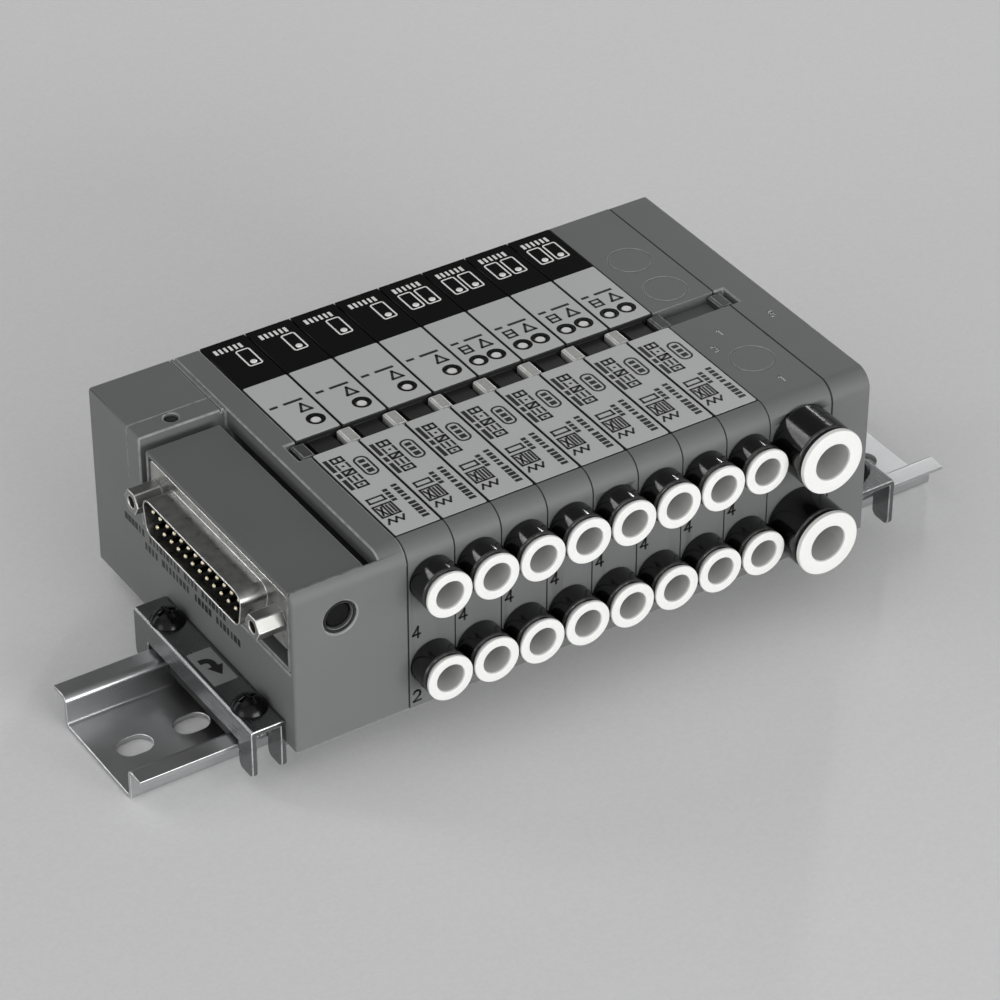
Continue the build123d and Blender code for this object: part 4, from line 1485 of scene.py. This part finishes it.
    def numbers(self, rows: GeometryTree, step: Vector) -> None:
        """Raised port numbers on the stations' front faces.

        Args:
            rows: Tree that repeats a piece.
            step: Step from one station to the next.
        """
        marks = []
        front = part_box("supply_block")[0].y
        for text, row, drop in self.numeral_drops_mm:
            place = middle("release_ring_1" + row)
            plane = plane_at(place.x - self.numeral_left_mm * MM, front, place.z - drop * MM, "-Y")
            mesh = numeral(text, self.numeral_tall_mm * MM, plane, self.numeral_gauge_mm * MM)
            marks.append(rows.run(mesh, INK, **in_row(self.stations, step)))
        show_joined("port_numbers", marks, INK, smooth=30)


@dataclass
class SupplyMarks:
    """Small moulded numbers on the supply block and the end block."""

    places_mm: tuple[tuple[str, float, float], ...] = (
        ("1", 0.0, 28.1), ("3", -4.2, 23.6), ("1", 0.9, 8.0), ("5", 12.9, 28.0),
    )
    tall_mm: float = 1.9
    gauge_mm: float = 0.05

    def build(self) -> None:
        """Makes the numbers in one piece."""
        low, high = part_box("supply_block")
        x = (low.x + high.x) / 2
        marks = []
        for text, across, away in self.places_mm:
            plane = plane_at(x + across * MM, low.y + away * MM, high.z)
            marks.append(numeral(text, self.tall_mm * MM, plane, self.gauge_mm * MM))
        show_joined("supply_numbers", marks, INK_GREY, smooth=30)


@dataclass
class EndPrint:
    """Two lines of greeked words on the left end face under the plug, and the plug of the small top hole."""

    # Each word's place on the face and its number of bars
    words_mm: tuple[tuple[float, float, int], ...] = (
        (39.0, 23.9, 6), (29.0, 23.9, 9), (15.0, 23.9, 4), (8.0, 23.9, 7),
        (31.0, 21.2, 4), (24.0, 21.2, 8), (11.0, 21.2, 5), (2.5, 21.2, 7),
    )
    # Step, least and most length, height and thickness of the bars
    bar_mm: tuple[float, ...] = (1.4, 0.6, 1.25, 1.7, 0.03)
    seed: int = 53
    hole_mm: Pair = (8.9, 61.6)
    # Radius of the rubber plug, and its foot, rim and crown from the block's top
    plug_mm: Four = (1.42, -3.6, -0.7, -0.4)

    def build(self, bars: GeometryTree) -> None:
        """Makes both lines in one piece, and the rubber plug.

        Args:
            bars: Tree of greeked bars.
        """
        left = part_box("wiring_block")[0].x
        words = []
        for word, (back, up, count) in enumerate(self.words_mm):
            plane = plane_at(left, back * MM, up * MM, "-X")
            words.append(greeked(bars, INK, plane, count, self.bar_mm, self.seed + word))
        show_joined("end_face_words", words, INK)
        self.hole_plug()

    def hole_plug(self) -> None:
        """Black rubber plug with a domed top, sunk in the hole behind the housing."""
        low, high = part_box("wiring_block")
        x, y = (edge + inset * MM for edge, inset in zip((low.x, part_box("supply_block")[0].y), self.hole_mm))
        radius, foot, rim, crown = (value * MM for value in self.plug_mm)
        section = [(0.0, foot), (radius, foot), (radius, rim), (radius * 0.8, (rim + crown) / 2)]
        section += [(radius * 0.5, crown), (0.0, crown)]
        plug = Shape().turned(section, plane_at(x, y, high.z), 32)
        show("hole_plug", plug.mesh("hole_plug"), SEAL)


@dataclass
class PlugConnector:
    """The turning housing with its 25-pole plug."""

    housing_edge_mm: float = 0.25
    lock_edge_mm: float = 0.5
    shell_edge_mm: float = 0.12
    insulator_edge_mm: float = 0.1
    post_edge_mm: float = 0.2
    trunnion_mm: Pair = (3.02, 3.45)
    wiper_gauge_mm: float = 0.3
    wiper_corner_mm: float = 0.1
    pin_radius_mm: float = 0.5
    pitch_mm: float = 2.77
    row_gap_mm: float = 2.84
    wide_row: int = 13
    narrow_row: int = 12

    def build(self, pins: GeometryTree) -> None:
        """Shows the housing, shell, posts and domed pins.

        Args:
            pins: Tree of the two rows of pins.
        """
        SoftNode("connector_housing", Slot.HOUSING, self.housing_edge_mm).build()
        SoftNode("lock_pin", Slot.BUSH, self.lock_edge_mm, 4).build()
        self.wiper()
        SoftNode("plug_shell", Slot.SHELL, self.shell_edge_mm).build()
        SoftNode("plug_insulator", Slot.INSULATOR, self.insulator_edge_mm).build()
        SoftNode("jack_posts", Slot.POST, self.post_edge_mm, 3).build()
        low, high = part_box("plug_pins")
        centre = (low + high) / 2
        length, radius = high.x - low.x, self.pin_radius_mm * MM
        dome = [(radius * math.cos(a), length - radius + radius * math.sin(a)) for a in (0, 0.4, 0.8, 1.2)]
        pin = Shape().turned([(0.0, 0.0), (radius, 0.0), *dome, (0.0, length)], Matrix.Identity(4), 16)
        single = pin.mesh("pin")
        # Painted shade: faces of the shank below the dome are marked -1 and render dark
        shank = [-1.0 if face.center.z < length - radius else 0.0 for face in single.polygons]
        single.attributes.new("worn", "FLOAT", "FACE").data.foreach_set("value", shank)
        sizes = {"Wide": self.wide_row, "Narrow": self.narrow_row}
        sizes |= {"Pitch": self.pitch_mm * MM, "Row_gap": self.row_gap_mm * MM}
        mesh = pins.run(single, PIN, plane_at(high.x, centre.y, centre.z, "-X"), **sizes)
        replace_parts(show("domed_pins", mesh, PIN, "connector"), "plug_pins")

    def wiper(self) -> None:
        """Black wiper ring on the trunnion's end face, round the lock pin."""
        pin = middle("lock_pin")
        plane = plane_at(pin.x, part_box("connector_housing")[0].y, pin.z, "-Y")
        inner, outer = (radius * MM for radius in self.trunnion_mm)
        gauge, soft = self.wiper_gauge_mm * MM, self.wiper_corner_mm * MM
        section = [(inner, 0.0), (outer, 0.0), (outer, gauge - soft), (outer - soft, gauge)]
        section += [(inner + soft, gauge), (inner, gauge - soft)]
        ring = Shape().turned(section, plane, 48)
        show("trunnion_wiper", ring.mesh("trunnion_wiper"), SEAL, "connector")


@dataclass
class RailMount:
    """The mounting rail with the clamps that hold the stack."""

    rail_edge_mm: float = 0.12
    bracket_edge_mm: float = 0.2
    block_edge_mm: float = 0.25
    screw_edge_mm: float = 0.15
    label_mm: Pair = (5.2, 11.2)
    label_corner_mm: float = 0.3
    label_shift_mm: float = -1.6
    label_gauge_mm: float = 0.15
    arrow_gauge_mm: float = 0.04
    arrow_radii_mm: Pair = (2.1, 0.7)
    arrow_steps: int = 8

    def build(self) -> None:
        """Shows the rail, brackets, blocks and screws, and the label with its arrow."""
        SoftNode("din_rail", Slot.RAIL, self.rail_edge_mm).build()
        for side in ("left", "right"):
            SoftNode(f"rail_clamp_{side}", Slot.CLAMP, self.bracket_edge_mm).build()
            SoftNode(f"clamp_block_{side}", Slot.CAST, self.block_edge_mm).build()
        SoftNode("clamp_screws", Slot.SCREW, self.screw_edge_mm, 3).build()
        low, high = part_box("rail_clamp_left")
        place = plane_at((low.x + high.x) / 2, self.label_shift_mm * MM, high.z)
        rim = rounded(*(side * MM for side in (*self.label_mm, self.label_corner_mm)))
        plate = Shape().prism(rim, place, self.label_gauge_mm * MM)
        show("clamp_label", plate.mesh("clamp_label"), LABEL_DARK)
        over = place @ Matrix.Translation((0, 0, self.label_gauge_mm * MM))
        arrow = Shape().prism(self.arrow_outline(), over, self.arrow_gauge_mm * MM)
        show("clamp_arrow", arrow.mesh("clamp_arrow"), INK)

    def arrow_outline(self) -> list[Pair]:
        """Bent arrow that points to the front.

        Returns:
            Its points, in metres.
        """
        outer, inner = self.arrow_radii_mm
        quarter = [math.pi / 2 * i / self.arrow_steps for i in range(self.arrow_steps + 1)]
        bend = [(-0.9 + outer * math.cos(a), 0.8 + outer * math.sin(a)) for a in quarter]
        back = [(-0.9 + inner * math.cos(a), 0.8 + inner * math.sin(a)) for a in reversed(quarter)]
        tip = [(inner - 0.9, -0.2), (-1.2, -0.2), (0.5, -3.2), (2.2, -0.2), (outer - 0.9, -0.2)]
        return [(u * MM, v * MM) for u, v in [*bend, (-1.7, 0.8 + outer), (-1.7, 0.8 + inner), *back, *tip]]


@dataclass(frozen=True)
class Lamp:
    """A soft box that faces the object, with lengths in metres."""

    name: str
    place: Triple
    size: Pair
    watts: float
    along: Triple = (0.0, 0.0, 1.0)

    def build(self, aim: Triple) -> None:
        """Makes the lamp, its height leaning as along says.

        Args:
            aim: What it faces.
        """
        data = bpy.data.lights.new(self.name, "AREA")
        data.shape = "RECTANGLE"
        data.size, data.size_y = self.size
        data.energy = self.watts
        lamp = bpy.data.objects.new(self.name, data)
        away = (Vector(self.place) - Vector(aim)).normalized()
        across = Vector(self.along).cross(away).normalized()
        turn = Matrix((across, away.cross(across), away)).transposed().to_4x4()
        lamp.matrix_world = Matrix.Translation(self.place) @ turn
        bpy.context.scene.collection.objects.link(lamp)


@dataclass
class Studio:
    """Floor, soft lamps and the camera."""

    floor_colour: str = "#F2F2F2"
    camera_place: Triple = (-0.35070, -0.53851, 0.49153)
    camera_target: Triple = (0.00262, 0.00955, 0.01840)
    camera_roll_deg: float = 0.0746
    camera_lens_mm: float = 143.37
    sky_front: float = 0.72
    sky_back: float = 0.14
    sky_lean: Triple = (0.35, 0.8, 0.35)
    floor_size: float = 6.0
    floor_corner: float = 0.5
    floor_under: float = -0.0103
    floor_gauge: float = 0.01
    lamp_aim: Triple = (0.0, 0.0, 0.02)
    lamps: tuple[Lamp, ...] = (
        Lamp("front_lamp", (0.15, -1.15, 0.25), (0.8, 0.4), 6.9),
        Lamp("top_lamp", (-0.45, 0.3, 1.1), (0.8, 0.8), 0.9),
        Lamp("side_lamp", (-1.1, -0.25, 0.3), (0.5, 0.5), 1.5),
        Lamp("edge_lamp", (0.80, 0.80, 0.36), (0.06, 0.42), 1.6),
        # A long strip that the folds of the brackets mirror
        Lamp("fold_lamp", (-0.66, 0.74, 0.47), (0.12, 1.0), 1.5, along=(0.6, 0.0, 0.8)),
    )

    def build(self) -> None:
        """Makes the floor, the lamps and the camera."""
        self.floor()
        for lamp in self.lamps:
            lamp.build(self.lamp_aim)
        self.sky()
        self.camera()
        bpy.context.scene.view_settings.view_transform = "Standard"

    def sky(self) -> None:
        """A sky that is paler in front of the object and greyer behind it."""
        world = bpy.data.worlds.new("soft_sky")
        world.use_nodes = True
        tree = world.node_tree
        towards = add_node(tree, "ShaderNodeTexCoord").outputs["Generated"]
        lean = add_node(tree, "ShaderNodeVectorMath", {0: towards, 1: self.sky_lean}, operation="DOT_PRODUCT")
        levels = {"Value": lean.outputs["Value"], 1: -0.7, 2: 0.8, 3: self.sky_front, 4: self.sky_back}
        strength = add_node(tree, "ShaderNodeMapRange", levels, interpolation_type="SMOOTHSTEP")
        tree.links.new(strength.outputs[0], tree.nodes["Background"].inputs["Strength"])
        tree.nodes["Background"].inputs["Color"].default_value = linear("#FFFFFF")
        bpy.context.scene.world = world

    def floor(self) -> None:
        """A wide plain floor under the rail."""
        rim = rounded(self.floor_size, self.floor_size, self.floor_corner)
        mesh = Shape().prism(rim, plane_at(0, 0, self.floor_under), self.floor_gauge).mesh("floor")
        # Matt emulsion on board, with an even roller stipple
        stipple = {"grain_mm": 0.8, "grain_depth_mm": 0.01, "drift_mm": 90.0, "drift": 0.01}
        mesh.materials.append(Moulded("painted_board_floor", self.floor_colour, 0.7, **stipple).build())
        piece = bpy.data.objects.new("floor", mesh)
        bpy.context.scene.collection.objects.link(piece)

    def camera(self) -> None:
        """The camera at the photograph's angle."""
        data = bpy.data.cameras.new("camera")
        data.lens = self.camera_lens_mm
        data.clip_start = 0.01
        camera = bpy.data.objects.new("camera", data)
        place = Vector(self.camera_place)
        aim = (Vector(self.camera_target) - place).to_track_quat("-Z", "Y").to_matrix().to_4x4()
        roll = Matrix.Rotation(math.radians(self.camera_roll_deg), 4, "Z")
        camera.matrix_world = Matrix.Translation(place) @ aim @ roll
        bpy.context.scene.collection.objects.link(camera)
        bpy.context.scene.camera = camera


def main() -> None:
    """Builds every sub-assembly, then the studio."""
    logging.basicConfig(level=logging.INFO, format="%(name)s: %(message)s")
    rows, frames, bars = rows_tree(), frame_tree(), bars_tree()
    BlockStack().build()
    StationPrint().build(rows, frames, bars)
    IndicatorStrip().build(rows, frames, bars)
    Overrides().build()
    small = Port(rim_mm=0.2, mouth_mm=0.15, teeth=12, seal_mm=0.5, collar_edge_mm=0.25, grab_mm=0.92)
    large = Port(rim_mm=0.25, mouth_mm=0.2, teeth=16, seal_mm=0.6, collar_edge_mm=0.35, grab_mm=1.02)
    TubePorts(small, large).build(rows, teeth_tree())
    SupplyMarks().build()
    EndPrint().build(bars)
    PlugConnector().build(pins_tree())
    RailMount().build()
    Studio().build()


if __name__ == "__main__":
    main()
